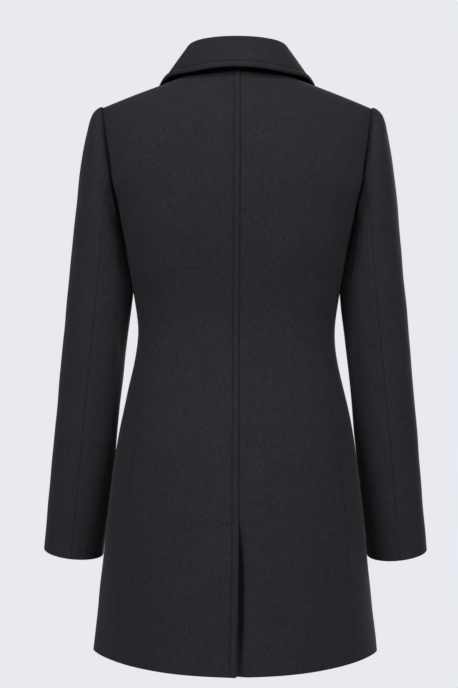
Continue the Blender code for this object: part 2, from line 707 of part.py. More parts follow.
def button_mesh():
    """A turned button with a raised rim and four holes."""
    profile = [
        (0.0, 0.62),
        (0.55, 0.62),
        (0.70, 0.85),
        (0.86, 1.0),
        (1.0, 0.75),
        (1.0, 0.35),
        (BUTTON_FOOT_RADIUS / BUTTON_RADIUS, 0.0),
        (0.0, 0.0),
    ]
    line = bpy.data.meshes.new("button_profile")
    points = [(r * BUTTON_RADIUS, 0, h * BUTTON_HEIGHT) for r, h in profile]
    line.from_pydata(points, [(i, i + 1) for i in range(len(points) - 1)], [])
    blank = bpy.data.objects.new("button_blank", line)
    bpy.data.collections["cutters"].objects.link(blank)
    turn = blank.modifiers.new("turn", "SCREW")
    turn.steps = turn.render_steps = 20
    turn.use_merge_vertices = True
    turn.merge_threshold = 0.00005
    drill = bmesh.new()
    for quarter in range(4):
        cut = bmesh.ops.create_cone(
            drill,
            cap_ends=True,
            segments=8,
            radius1=BUTTON_HOLE_RADIUS,
            radius2=BUTTON_HOLE_RADIUS,
            depth=4 * BUTTON_HEIGHT,
        )
        turned = math.radians(45 + 90 * quarter)
        shift = (BUTTON_HOLE_PITCH * math.cos(turned), BUTTON_HOLE_PITCH * math.sin(turned), 0)
        bmesh.ops.translate(drill, verts=cut["verts"], vec=shift)
    holes = bpy.data.meshes.new("button_holes")
    drill.to_mesh(holes)
    drill.free()
    cutter = bpy.data.objects.new("button_drill", holes)
    bpy.data.collections["cutters"].objects.link(cutter)
    bore = blank.modifiers.new("holes", "BOOLEAN")
    bore.operation = "DIFFERENCE"
    bore.object = cutter
    for helper in (blank, cutter):
        helper.hide_render = True
        helper.display_type = "WIRE"
    bpy.context.view_layer.update()
    ready = blank.evaluated_get(bpy.context.evaluated_depsgraph_get())
    data = bpy.data.meshes.new_from_object(ready)
    data.shade_smooth()
    data.set_sharp_from_angle(angle=math.radians(40))
    data.materials.clear()
    return data


def seat_height(front, point, normal):
    """How far a button's flat foot stands off a point of the front to clear that panel all round."""
    across = np.array([1.0, 0.0, 0.0])
    turns = np.linspace(0, 2 * math.pi, 17)[:, None]
    rim = point + BUTTON_FOOT_RADIUS * (np.cos(turns) * across + np.sin(turns) * np.cross(normal, across))
    heights = []
    for spot in (point, *rim):
        _, hit, _, _ = front.ray_cast(spot + normal * BUTTON_RADIUS, -normal)
        heights.append((np.array(hit) - point) @ normal)
    return max(heights) + SEAM_GAP


def make_buttons(horn):
    """Buttons down the centre front, each square to the right front's surface and seated on it."""
    data = button_mesh()
    front = bpy.data.objects["front_right"]
    for number, z in enumerate(BUTTON_Z, start=1):
        spot = place(np.array(0.0), np.array(z), False)
        point = body_point(spot[0], spot[1])
        normal, _ = outward(point)
        item = add_object(f"button_{number}", data if number == 1 else data.copy(), horn)
        item.location = point + normal * seat_height(front, point, normal)
        tilt = math.atan2(normal[2], normal[1])
        item.rotation_euler = (tilt - math.pi / 2, 0, 0)


def main():
    for item in list(bpy.data.objects):
        bpy.data.objects.remove(item)
    for name in (COAT, "cutters"):
        group = bpy.data.collections.new(name)
        bpy.context.scene.collection.children.link(group)
    root = bpy.data.objects.new(COAT + "_root", None)
    bpy.data.collections[COAT].objects.link(root)
    wool = material("charcoal_wool", WOOL)
    horn = material("dark_horn", HORN)
    for side, mirrored in (("right", False), ("left", True)):
        make_back(f"back_{side}", wool, mirrored)
        make_side(f"side_{side}", wool, mirrored)
        make_front(f"front_{side}", wool, mirrored)
        make_lapel(f"lapel_{side}", wool, mirrored)
        make_sleeve(side, wool, mirrored)
    make_collar(wool)
    make_buttons(horn)


main()
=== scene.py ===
"""Looks of a single-breasted wool coat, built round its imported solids.

Each cloth piece is a fine closed shell on the form of the solid that it replaces, with rolled edges, seams,
soft creases and stitching. Sizes are in metres, with +Z up. The coat's back faces -Y, its front +Y, and +X
is the wearer's right.
"""

import logging
import math
from collections.abc import Callable
from dataclasses import dataclass, field
from enum import Enum
from typing import NamedTuple

import bpy
import numpy as np
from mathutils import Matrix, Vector

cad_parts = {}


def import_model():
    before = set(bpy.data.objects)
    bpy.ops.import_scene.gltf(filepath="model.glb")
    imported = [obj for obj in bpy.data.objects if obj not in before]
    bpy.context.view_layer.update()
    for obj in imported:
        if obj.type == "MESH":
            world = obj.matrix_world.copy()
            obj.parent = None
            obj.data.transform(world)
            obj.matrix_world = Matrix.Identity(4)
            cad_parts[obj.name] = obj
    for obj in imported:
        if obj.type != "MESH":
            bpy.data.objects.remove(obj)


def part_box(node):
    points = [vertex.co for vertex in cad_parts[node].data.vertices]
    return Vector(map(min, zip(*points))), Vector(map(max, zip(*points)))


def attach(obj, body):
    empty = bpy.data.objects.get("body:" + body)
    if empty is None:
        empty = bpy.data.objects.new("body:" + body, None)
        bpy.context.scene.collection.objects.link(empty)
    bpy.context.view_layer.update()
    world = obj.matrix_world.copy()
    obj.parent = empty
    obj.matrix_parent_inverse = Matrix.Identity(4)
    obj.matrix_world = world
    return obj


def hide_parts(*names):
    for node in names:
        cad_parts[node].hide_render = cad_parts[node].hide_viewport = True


Points = np.ndarray
Socket = bpy.types.NodeSocket
LOG = logging.getLogger("coat")

WALL = 0.0024
COLLAR_WALL = 0.0021
SEAM_GAP = 0.0003
HALF_GAP = SEAM_GAP / 2
LAYER_GAP = 0.0006
DENSE_COLUMNS = 241
ROOT = "root"
FULL_TURN = 2 * math.pi
TINY = 1e-6
SHORTEST = 1e-12
ALMOST_ONE = 0.9999
ALMOST_EDGE = 0.999
TOP_BLEND = 6
WAVE_LENGTH = 0.314
GROOVE_FADE = 0.004
# Reach of the painted highlight and rubbed nap in from a folded edge.
LIT_EDGE_REACH = 0.003
SHARP_ANGLE = math.radians(60)
SMALL_SHARP_ANGLE = math.radians(50)
WAY_STEP = 0.0005
PICTURE_HEIGHT = 688


class Side(Enum):
    """A side of the wearer. The value is the sign of its X."""

    RIGHT = 1
    LEFT = -1


class Border(Enum):
    """A border of a cloth piece's grid."""

    FIRST_COLUMN = "first column"
    LAST_COLUMN = "last column"
    FIRST_ROW = "first row"
    LAST_ROW = "last row"


class Edge(Enum):
    """How a border of a cloth piece is finished."""

    SEAM = "turned in against the next piece"
    PRESSED = "turned in and pressed flat"
    FOLD = "turned back on itself"


# Numbers


def column(table: tuple, name: str) -> Points:
    """One named column of a table."""
    return np.array([getattr(row, name) for row in table], float)


def spline(knots: Points, values: Points, at: Points, last_slope: float | None = None) -> Points:
    """A smooth cubic through the knots, straight at its first end and, with no last_slope, at its last.

    Args:
        knots: Rising positions.
        values: A number or a point for each knot.
        at: Positions to read.
        last_slope: Slope at the last knot.

    Returns:
        The values at those positions.
    """
    knots = np.asarray(knots, float)
    at = np.asarray(at, float)
    shape = np.shape(values)[1:]
    flat = np.asarray(values, float).reshape(len(knots), -1)
    gaps = np.diff(knots)
    rises = np.diff(flat, axis=0) / gaps[:, None]
    size = len(knots)
    bends = np.eye(size)
    wanted = np.zeros_like(flat)
    for i in range(1, size - 1):
        bends[i, i - 1 : i + 2] = gaps[i - 1], 2 * (gaps[i - 1] + gaps[i]), gaps[i]
        wanted[i] = 6 * (rises[i] - rises[i - 1])
    if last_slope is not None:
        bends[-1, -2:] = gaps[-1], 2 * gaps[-1]
        wanted[-1] = 6 * (last_slope - rises[-1])
    curve = np.linalg.solve(bends, wanted)
    i = np.clip(np.searchsorted(knots, at) - 1, 0, size - 2)
    step = (at - knots[i])[..., None]
    gap = gaps[i][..., None]
    slope = rises[i] - gap * (2 * curve[i] + curve[i + 1]) / 6
    bending = curve[i] / 2 + step * (curve[i + 1] - curve[i]) / (6 * gap)
    found = flat[i] + step * (slope + step * bending)
    return found.reshape(at.shape + shape)


def ease(share: Points) -> Points:
    """0 to 1 with soft ends."""
    share = np.clip(share, 0, 1)
    return share * share * (3 - 2 * share)


def unit(vectors: Points) -> Points:
    """The vectors at length one."""
    return vectors / np.maximum(np.linalg.norm(vectors, axis=-1, keepdims=True), SHORTEST)


def graded(length: float, fine: float, coarse: float, growth: float = 1.32) -> Points:
    """Positions from 0 to a length, close together at both ends.

    Args:
        length: Length to divide.
        fine: First and last step.
        coarse: Largest step.
        growth: How much larger each step is than the one before.

    Returns:
        Rising positions that start at 0 and end at the length.
    """
    half = [0.0]
    step = fine
    while half[-1] + step < length / 2:
        half.append(half[-1] + step)
        step = min(step * growth, coarse)
    near = np.array(half)
    return np.concatenate([near, length - near[::-1]])


def patch(left: Points, right: Points, top: Points) -> Points:
    """A grid of flat coordinates between two long edges and a top edge.

    Args:
        left: Coordinates of the left edge, a row each.
        right: Coordinates of the right edge.
        top: Coordinates of the top edge, a column each.

    Returns:
        Rows by columns of coordinates.
    """
    climb = (left[:, 1] - left[0, 1]) / (left[-1, 1] - left[0, 1])
    across = np.linspace(0, 1, len(top))
    grid = left[:, None] * (1 - across)[None, :, None] + right[:, None] * across[None, :, None]
    chord = top[:1] * (1 - across)[:, None] + top[-1:] * across[:, None]
    return grid + (np.clip(climb, 0, 1) ** TOP_BLEND)[:, None, None] * (top - chord)[None]


def run_lengths(grid: Points, axis: int) -> Points:
    """Length along each row or column of a grid, from its start."""
    steps = np.linalg.norm(np.diff(grid, axis=axis), axis=-1)
    return np.concatenate([np.zeros_like(np.take(steps, [0], axis)), np.cumsum(steps, axis)], axis)


def grid_normals(grid: Points) -> Points:
    """Unit normals of a grid of points, by the directions along its rows and columns."""
    return unit(np.cross(np.gradient(grid, axis=0), np.gradient(grid, axis=1)))


@dataclass(frozen=True)
class ColumnPlan:
    """Where a cloth piece's columns lie: set distances from both long borders, and an even spread between.

    Attributes:
        first: Distances from the first column's border.
        last: Distances from the last column's border.
        middle: Columns between.
        corner: Share of the dense columns that a column has to meet, where the top edge has a corner.
        border_share: Most of a row that the columns near one border may take.
    """

    first: tuple
    last: tuple
    middle: int
    corner: float | None = None
    border_share: float = 0.3

    def shares(self, dense: Points) -> Points:
        """Column places of a dense grid as shares of its columns, a row each.

        Args:
            dense: Grid of points with many columns.

        Returns:
            The shares, one row for each row of the grid.
        """
        lengths = run_lengths(dense, 1)
        even = np.linspace(0, 1, dense.shape[1])
        rows = []
        for row in lengths:
            total = row[-1]
            first = np.array(self.first) * min(1, self.border_share * total / self.first[-1])
            last = (total - np.array(self.last) * min(1, self.border_share * total / self.last[-1]))[::-1]
            if self.corner is None:
                middle = np.linspace(first[-1], last[0], self.middle + 2)[1:-1]
            else:
                bend = np.interp(self.corner, even, row)
                half = self.middle // 2
                before = np.linspace(first[-1], bend, half + 2)[1:]
                middle = np.concatenate([before, np.linspace(bend, last[0], half + 2)[1:-1]])
            rows.append(np.interp(np.concatenate([first, middle, last]), row, even))
        return np.array(rows)

    def spread(self, dense: Points, *others: Points) -> list:
        """The dense grid, and others of the same size, at this plan's columns.

        Args:
            dense: Grid of points with many columns.
            others: Grids of values at the same points.

        Returns:
            The grids at the plan's columns, in the order given.
        """
        shares = self.shares(dense)
        even = np.linspace(0, 1, dense.shape[1])
        found = []
        for grid in (dense, *others):
            rows = [
                np.stack([np.interp(at, even, row[:, k]) for k in range(row.shape[1])], axis=-1)
                for at, row in zip(shares, grid)
            ]
            found.append(np.array(rows))
        return found


SEAM_COLUMNS = (HALF_GAP, 0.0004, 0.0007, 0.0011, 0.0016, 0.0024, 0.0040, 0.0065)
FOLD_COLUMNS = (0.0, 0.0002, 0.0005, 0.0009, 0.0014, 0.0021, 0.0034, 0.0055)
STITCHED_COLUMNS = (
    0.0, 0.0002, 0.0005, 0.0009, 0.0014, 0.0021, 0.0032, 0.0046, 0.0060, 0.0070, 0.0077, 0.0083, 0.0088,
    0.0093, 0.0099, 0.0107, 0.0120, 0.0145,
)
STITCHED_SEAM_COLUMNS = (HALF_GAP, 0.0004, 0.0007, *STITCHED_COLUMNS[4:])
UNDERLAP_COLUMNS = (
    *SEAM_COLUMNS, 0.0130, 0.0220, 0.0300, 0.0360, 0.0395, 0.0415, 0.0430, 0.0440, 0.0450, 0.0460,
    0.0470, 0.0480, 0.0490, 0.0500, 0.0512, 0.0525, 0.0545, 0.0575, 0.0620,
)
STITCH_INSET = 0.0088


# Forms that the cloth lies on


class Ring(NamedTuple):
    """A level section of the body.

    A larger flatness flattens the back and front, and a smaller pinch points the side.
    """

    z: float
    half_width: float
    back: float
    front: float
    flatness: float
    pinch: float


class SeamPoint(NamedTuple):
    """Where a long body seam lies at one height, as an angle round the body in degrees."""

    z: float
    angle: float


HEM_Z = -0.800
CHEST_Z = -0.140
BODY_RINGS = (
    Ring(HEM_Z, 0.1990, 0.1660, 0.1380, 2.17, 1.32),
    Ring(-0.680, 0.1858, 0.1520, 0.1300, 2.14, 1.60),
    Ring(-0.560, 0.1730, 0.1350, 0.1230, 2.12, 1.86),
    Ring(-0.495, 0.1634, 0.1215, 0.1175, 2.10, 1.98),
    Ring(-0.445, 0.1531, 0.1075, 0.1120, 2.10, 2.05),
    Ring(-0.395, 0.1417, 0.0955, 0.1075, 2.10, 2.10),
    Ring(-0.355, 0.1375, 0.0910, 0.1075, 2.12, 2.12),
    Ring(-0.300, 0.1432, 0.0960, 0.1190, 2.30, 2.30),
    Ring(-0.260, 0.1500, 0.1040, 0.1275, 2.60, 2.60),
    Ring(-0.225, 0.1560, 0.1110, 0.1305, 2.75, 2.75),
    Ring(-0.180, 0.1745, 0.1170, 0.1285, 2.45, 2.45),
    Ring(CHEST_Z, 0.1920, 0.1190, 0.1240, 2.28, 2.28),
)
SIDE_BACK_SEAM = (
    SeamPoint(HEM_Z, 52.5),
    SeamPoint(-0.700, 54.0),
    SeamPoint(-0.560, 55.0),
    SeamPoint(-0.440, 57.0),
    SeamPoint(-0.356, 69.0),
    SeamPoint(-0.300, 71.0),
)
SIDE_FRONT_SEAM = (
    SeamPoint(HEM_Z, 118.0),
    SeamPoint(-0.560, 117.0),
    SeamPoint(-0.356, 115.0),
    SeamPoint(-0.270, 112.0),
)


@dataclass(frozen=True)
class BodyForm:
    """The surface of the coat's body, reached by an angle and a level.

    The angle runs from the centre back (0) past the side line to the centre front (pi). The level is the
    height up to the chest. Above the chest it is how far the surface has rolled over to the ridge.
    """

    break_z: float = -0.270
    shoulder_z: float = -0.0425
    shoulder_x: float = 0.1880
    neck_x: float = 0.080
    neck_z: float = -0.0035
    back_neck_z: float = -0.0005
    back_roll: float = 2.5
    front_roll: float = 1.5
    yoke_levels: float = 0.110
    armhole_z: float = -0.133
    armhole_back: float = 0.0625
    armhole_skew: float = math.radians(12)
    armhole_front: float = 0.055
    armhole_join: float = math.radians(130)
    overlap: float = 0.024
    gorge: tuple = (0.062, -0.038)
    neck_bend: float = 1.6
    halvings: int = 60

    @property
    def armhole_rise(self) -> float:
        """Height of the shoulder above the armhole's middle."""
        return self.shoulder_z - self.armhole_z

    @property
    def join_z(self) -> float:
        """Height at which the long seams meet the armhole."""
        return self.armhole_z + self.armhole_rise * math.cos(self.armhole_join)

    def ring_value(self, name: str, z: Points) -> Points:
        """A column of the body's rings at heights z."""
        low = np.minimum(z, CHEST_Z)
        return spline(column(BODY_RINGS, "z"), column(BODY_RINGS, name), low, last_slope=0)

    def ring_half(self, z: Points, rear: Points) -> tuple:
        """Half width, depth, flatness and pinch of the back or front half at heights z.

        Args:
            z: Heights.
            rear: Whether the half is the back one.

        Returns:
            The four values at each height.
        """
        depth = np.where(rear, self.ring_value("back", z), self.ring_value("front", z))
        flatness, pinch = self.ring_value("flatness", z), self.ring_value("pinch", z)
        return self.ring_value("half_width", z), depth, flatness, pinch

    def ridge_height(self, x: Points) -> Points:
        """Height of the shoulder's ridge at distances x from the centre."""
        slope = (self.neck_z - self.shoulder_z) / (self.shoulder_x - self.neck_x)
        return self.shoulder_z + (self.shoulder_x - x) * slope

    def roll(self, rear: Points) -> Points:
        """How squarely the back or the front rolls over to the ridge."""
        return np.where(rear, self.back_roll, self.front_roll)

    def point(self, angle: Points, level: Points) -> Points:
        """Points of the outer surface at angles round the body and levels.

        Args:
            angle: Angles round the body.
            level: Heights up to the chest, and above it how far the surface has rolled over.

        Returns:
            The points.
        """
        angle, level = np.broadcast_arrays(angle, level)
        rear = np.cos(angle) >= 0
        half_width, depth, flatness, pinch = self.ring_half(level, rear)
        across = half_width * np.abs(np.sin(angle)) ** (2 / flatness)
        out = depth * np.abs(np.cos(angle)) ** (2 / pinch)
        roll = self.roll(rear)
        climb = np.clip((level - CHEST_Z) / self.yoke_levels, 0, 1) * math.pi / 2
        risen = CHEST_Z + (self.ridge_height(across) - CHEST_Z) * np.sin(climb) ** (2 / roll)
        out = out * np.abs(np.cos(climb)) ** (2 / roll)
        height = np.where(level > CHEST_Z, risen, level)
        return np.stack([np.sign(np.sin(angle)) * across, np.where(rear, -out, out), height], axis=-1)

    def skin(self, points: Points) -> Points:
        """Zero on the outer surface, less inside it and more outside.

        Args:
            points: Points near the surface.

        Returns:
            The measure at each point.
        """
        x, y, z = np.abs(points[..., 0]), np.abs(points[..., 1]), points[..., 2]
        rear = points[..., 1] <= 0
        half_width, depth, flatness, pinch = self.ring_half(z, rear)
        roll = self.roll(rear)
        room = depth * (1 - np.minimum(x / half_width, ALMOST_ONE) ** flatness) ** (1 / pinch)
        rise = np.maximum(z - CHEST_Z, 0) / (self.ridge_height(x) - CHEST_Z)
        below = (x / half_width) ** flatness + (y / depth) ** pinch - 1
        above = (y / room) ** roll + rise**roll - 1
        return np.where(z <= CHEST_Z, below, above)

    def outward(self, points: Points, reach: float = 2e-5) -> tuple:
        """Unit directions out of the body at points near it, and the skin's steepness there.

        Args:
            points: Points near the surface.
            reach: Step over which the slope is taken.

        Returns:
            The directions and the steepness.
        """
        steps = np.eye(3) * reach
        slopes = [(self.skin(points + s) - self.skin(points - s)) / (2 * reach) for s in steps]
        slope = np.stack(slopes, axis=-1)
        steep = np.linalg.norm(slope, axis=-1, keepdims=True)
        return slope / steep, steep[..., 0]

    def surface(self, spots: Points) -> tuple:
        """Points of the outer surface at spots of an angle and a level, and the directions out of it."""
        points = self.point(spots[..., 0], spots[..., 1])
        return points, self.outward(points)[0]

    def depth_at(self, x: Points, z: Points, rear: Points) -> Points:
        """How far the surface lies from the side line at distances x from the centre and heights z.

        Args:
            x: Distances from the centre.
            z: Heights.
            rear: Whether the surface is the back's.

        Returns:
            The distances.
        """
        half_width, depth, flatness, pinch = self.ring_half(z, rear)
        room = depth * (1 - np.minimum(x / half_width, 1) ** flatness) ** (1 / pinch)
        roll = self.roll(rear)
        rise = np.clip((z - CHEST_Z) / np.maximum(self.ridge_height(x) - CHEST_Z, TINY), 0, 1)
        return room * (1 - rise**roll) ** (1 / roll)

    def place(self, x: Points, z: Points, rear: bool | Points) -> Points:
        """Angle and level of the surface points at distances x from the centre and heights z.

        Args:
            x: Distances from the centre.
            z: Heights.
            rear: Whether the surface is the back's.

        Returns:
            An angle and a level for each.
        """
        x, z = np.asarray(x, float), np.asarray(z, float)
        half_width, _, flatness, _ = self.ring_half(z, rear)
        turn = np.sign(x) * np.arcsin(np.clip(np.abs(x) / half_width, 0, 1) ** (flatness / 2))
        rise = np.clip((z - CHEST_Z) / (self.ridge_height(np.abs(x)) - CHEST_Z), 0, 1)
        level = CHEST_Z + self.yoke_levels * np.arcsin(rise ** (self.roll(rear) / 2)) / (math.pi / 2)
        return np.stack([np.where(rear, turn, math.pi - turn), np.where(z > CHEST_Z, level, z)], axis=-1)

    def armhole(self, turn: Points) -> Points:
        """Angle and level of the armhole seam.

        Args:
            turn: Turns round the armhole. 0 is the shoulder, half pi the back and pi under the arm.

        Returns:
            An angle and a level for each turn.
        """
        turn = np.asarray(turn, float)
        rear = np.sin(turn) >= 0
        z = self.armhole_z + self.armhole_rise * np.cos(turn)
        skewed = turn - self.armhole_skew * np.sin(math.pi * np.clip(turn / self.armhole_join, 0, 1))
        depth = np.where(rear, np.sin(skewed) * self.armhole_back, -np.sin(turn) * self.armhole_front)
        near = np.zeros_like(z)
        far = np.full_like(z, BODY_RINGS[-1].half_width)
        for _ in range(self.halvings):
            middle = (near + far) / 2
            deep = self.depth_at(middle, z, rear) > depth
            near = np.where(deep, middle, near)
            far = np.where(deep, far, middle)
        return self.place(near, z, rear)

    def long_seam(self, table: tuple, join_turn: float, levels: Points) -> Points:
        """Angle and level of a seam from the hem to the armhole, at the levels asked for.

        Args:
            table: Seam angles and levels below the join.
            join_turn: Turn of the armhole that the seam ends at.
            levels: Levels from the hem up.

        Returns:
            An angle and a level for each.
        """
        knots = np.append(column(table, "z"), self.join_z)
        angles = np.append(np.radians(column(table, "angle")), self.armhole(join_turn)[0])
        return np.stack([spline(knots, angles, levels), levels], axis=-1)

    def side_back_seam(self, levels: Points) -> Points:
        """The seam between a back and a side panel."""
        return self.long_seam(SIDE_BACK_SEAM, self.armhole_join, levels)

    def side_front_seam(self, levels: Points) -> Points:
        """The seam between a side panel and a front."""
        return self.long_seam(SIDE_FRONT_SEAM, FULL_TURN - self.armhole_join, levels)

    def back_neck(self, shares: Points) -> Points:
        """The neck seam from the centre back, at share 0, to the shoulder, at share 1.

        Args:
            shares: Shares of the way.

        Returns:
            An angle and a level for each share.
        """
        x = self.neck_x * np.sin(np.asarray(shares) * math.pi / 2)
        z = self.back_neck_z + (self.neck_z - self.back_neck_z) * (x / self.neck_x) ** 2
        return self.place(x, np.minimum(z, self.ridge_height(np.abs(x))), True)

    def front_neck(self, shares: Points) -> Points:
        """The neck seam from the shoulder, at share 0, to the gorge, at share 1.

        Args:
            shares: Shares of the way.

        Returns:
            An angle and a level for each share.
        """
        shares = np.asarray(shares)
        x = self.neck_x + (self.gorge[0] - self.neck_x) * shares
        z = self.neck_z + (self.gorge[1] - self.neck_z) * shares**self.neck_bend
        return self.place(x, np.minimum(z, self.ridge_height(x)), False)

    def shoulder_seam(self, shares: Points, rear: bool) -> Points:
        """The shoulder seam from the neck to the armhole."""
        x = self.neck_x + (self.shoulder_x - self.neck_x) * np.asarray(shares)
        return self.place(x, self.ridge_height(x), rear)

    def roll_x(self, z: Points) -> Points:
        """The front edge below the break of the lapel, and the roll line above it."""
        share = np.clip((z - self.break_z) / (self.gorge[1] - self.break_z), 0, 1)
        return -self.overlap + (self.gorge[0] + self.overlap) * share


class SleeveRing(NamedTuple):
    """A section of the right sleeve: outermost and innermost point, depth, bow and two seams in degrees."""

    outer_x: float
    outer_z: float
    inner_x: float
    inner_z: float
    middle_y: float
    half_depth: float
    bow: float
    back_seam: float
    front_seam: float


SLEEVE_RINGS = (
    SleeveRing(0.1925, -0.0416, 0.1568, -0.2295, 0.000, 0.0590, 0.0038, 106.5, 243.0),
    SleeveRing(0.1985, -0.0460, 0.1561, -0.2330, 0.000, 0.0605, 0.0046, 107.5, 243.0),
    SleeveRing(0.2036, -0.0535, 0.1553, -0.2370, 0.000, 0.0612, 0.0050, 107.0, 243.0),
    SleeveRing(0.2087, -0.0720, 0.1542, -0.2425, 0.000, 0.0620, 0.0048, 105.5, 244.0),
    SleeveRing(0.2142, -0.1000, 0.1527, -0.2510, 0.000, 0.0625, 0.0046, 103.5, 245.0),
    SleeveRing(0.2203, -0.1420, 0.1501, -0.2650, 0.000, 0.0620, 0.0045, 99.5, 246.0),
    SleeveRing(0.2259, -0.1980, 0.1458, -0.2890, 0.000, 0.0600, 0.0030, 95.0, 247.0),
    SleeveRing(0.2308, -0.2500, 0.1464, -0.3120, 0.000, 0.0580, 0.0020, 92.5, 248.0),
    SleeveRing(0.2370, -0.3120, 0.1496, -0.3440, 0.000, 0.0560, 0.0010, 92.0, 249.0),
    SleeveRing(0.2433, -0.3800, 0.1552, -0.3930, 0.001, 0.0545, 0.0, 91.0, 250.0),
    SleeveRing(0.2501, -0.4500, 0.1628, -0.4600, 0.004, 0.0530, 0.0, 90.0, 250.0),
    SleeveRing(0.2567, -0.5200, 0.1695, -0.5290, 0.009, 0.0512, 0.0, 90.0, 250.0),
    SleeveRing(0.2635, -0.5900, 0.1784, -0.6000, 0.015, 0.0496, 0.0, 91.0, 250.0),
    SleeveRing(0.2704, -0.6605, 0.1866, -0.6705, 0.022, 0.0480, 0.0, 92.0, 250.0),
)


@dataclass(frozen=True)
class SleeveForm:
    """The surface of the right sleeve, from the armhole to the cuff."""

    body: BodyForm
    armhole_steps: int = 10
    back_seam_step: float = 7.5
    front_seam_step: int = 9
    corner: tuple = (math.radians(108), math.radians(132))
    squareness: float = 2.5
    corner_heights: tuple = (-0.50, -0.30)

    @property
    def back_start(self) -> float:
        """Turn round the armhole at which the back sleeve seam starts."""
        return self.body.armhole_join * self.back_seam_step / self.armhole_steps

    @property
    def front_start(self) -> float:
        """Turn round the armhole at which the front sleeve seam starts."""
        return FULL_TURN - self.body.armhole_join * self.front_seam_step / self.armhole_steps

    def ring_turns(self, starts: Points, back_seam: float, front_seam: float) -> Points:
        """Turns of a ring's points, drawn so that the two seams come at the given turns.

        Args:
            starts: Turns of the armhole that the points start from.
            back_seam: The back seam's turn.
            front_seam: The front seam's turn.

        Returns:
            The turns.
        """
        back, front = self.back_start, self.front_start
        known = [front - FULL_TURN, back, front, back + FULL_TURN]
        wanted = [front_seam - FULL_TURN, back_seam, front_seam, back_seam + FULL_TURN]
        return np.interp(starts, known, wanted)

    def squared(self, turns: Points, height: float) -> tuple:
        """Cosine and sine of a ring's turns, drawn out to a squarer corner behind, next to the body.

        Args:
            turns: Turns round the ring.
            height: The ring's height.

        Returns:
            The two values at each turn.
        """
        cos, sin = np.cos(turns), np.sin(turns)
        start, end = self.corner
        low, high = self.corner_heights
        share = ease((turns - start) / (end - start)) * (sin > 0) * ease((height - low) / (high - low))
        power = 2 / self.squareness
        far = np.sign(cos) * np.abs(cos) ** power, np.sign(sin) * np.abs(sin) ** power
        return cos + (far[0] - cos) * share, sin + (far[1] - sin) * share

    def rows(self, starts: Points) -> Points:
        """The armhole seam and each ring, as points at the given turns of the armhole.

        Args:
            starts: Turns of the armhole.

        Returns:
            A row of points for the seam and for each ring.
        """
        seam = self.body.armhole(np.mod(starts, FULL_TURN))
        found = [self.body.point(seam[:, 0], seam[:, 1])]
        heights = (column(SLEEVE_RINGS, "outer_z") + column(SLEEVE_RINGS, "inner_z")) / 2
        leans = np.gradient(np.maximum(column(SLEEVE_RINGS, "middle_y"), 0), heights)
        for ring, lean, height in zip(SLEEVE_RINGS, leans, heights):
            turns = self.ring_turns(starts, math.radians(ring.back_seam), math.radians(ring.front_seam))
            cos, sin = self.squared(turns, height)
            outer = np.array([ring.outer_x, ring.middle_y, ring.outer_z])
            inner = np.array([ring.inner_x, ring.middle_y, ring.inner_z])
            reach = cos[:, None] * (outer - inner) / 2
            depth = sin[:, None] * [0, -ring.half_depth, ring.half_depth * lean]
            bow = sin[:, None] ** 2 * [ring.bow, 0, 0]
            found.append((outer + inner) / 2 + reach + depth + bow)
        return np.array(found)

    def tube(self, starts: Points, fine: float, coarse: float) -> Points:
        """A grid of points from the armhole to the cuff, smooth through the rings.

        Args:
            starts: Turns of the armhole, one for each column.
            fine: Row step at the ends.
            coarse: Row step between them.

        Returns:
            The grid.
        """
        rows = self.rows(starts)
        knots = np.linalg.norm(np.diff(rows, axis=0), axis=-1).mean(axis=1)
        knots = np.concatenate([[0], np.cumsum(knots)])
        return spline(knots, rows, np.concatenate([[HALF_GAP], graded(knots[-1], fine, coarse)[1:]]))


# Drape


class Crease(NamedTuple):
    """A soft trough, or a ridge where the depth is negative, between two points of the cloth."""

    start: tuple
    end: tuple
    half_width: float
    depth: float


class Ripple(NamedTuple):
    """A faint wave all over the cloth: its direction, length, height and start."""

    direction: tuple
    length: float
    height: float
    start: float


CREASES = (
    Crease((0.097, -0.106, -0.170), (0.114, -0.084, -0.295), 0.015, 0.0021),
    Crease((-0.099, -0.105, -0.176), (-0.116, -0.083, -0.305), 0.016, 0.0022),
    Crease((-0.012, -0.142, -0.605), (-0.029, -0.140, -0.612), 0.008, 0.0015),
    Crease((0.060, -0.098, -0.335), (0.128, -0.058, -0.365), 0.013, 0.0007),
    Crease((-0.055, -0.098, -0.345), (-0.126, -0.060, -0.372), 0.012, 0.0008),
    Crease((0.050, 0.118, -0.330), (0.122, 0.065, -0.352), 0.014, 0.0012),
    Crease((-0.046, 0.116, -0.338), (-0.120, 0.066, -0.364), 0.013, 0.0011),
    Crease((0.110, 0.100, -0.620), (0.122, 0.098, -0.800), 0.030, 0.0022),
    Crease((-0.104, 0.104, -0.600), (-0.115, 0.102, -0.800), 0.032, 0.0020),
    Crease((0.178, 0.062, -0.330), (0.222, 0.050, -0.352), 0.009, 0.0016),
    Crease((-0.180, 0.061, -0.338), (-0.224, 0.049, -0.356), 0.010, 0.0018),
    Crease((0.165, 0.055, -0.390), (0.218, 0.056, -0.372), 0.011, 0.0013),
    Crease((-0.166, 0.054, -0.398), (-0.214, 0.057, -0.386), 0.010, 0.0012),
    Crease((0.172, -0.040, -0.350), (0.205, -0.056, -0.330), 0.012, 0.0008),
    Crease((-0.170, -0.042, -0.360), (-0.202, -0.056, -0.336), 0.013, 0.0009),
    Crease((0.1620, 0.000, -0.165), (0.1440, 0.000, -0.320), 0.030, -0.0014),
    Crease((-0.1620, 0.000, -0.165), (-0.1440, 0.000, -0.320), 0.030, -0.0014),
    Crease((0.185, 0.050, -0.230), (0.225, 0.030, -0.300), 0.014, 0.0014),
    Crease((-0.184, 0.052, -0.236), (-0.226, 0.030, -0.310), 0.015, 0.0013),
)
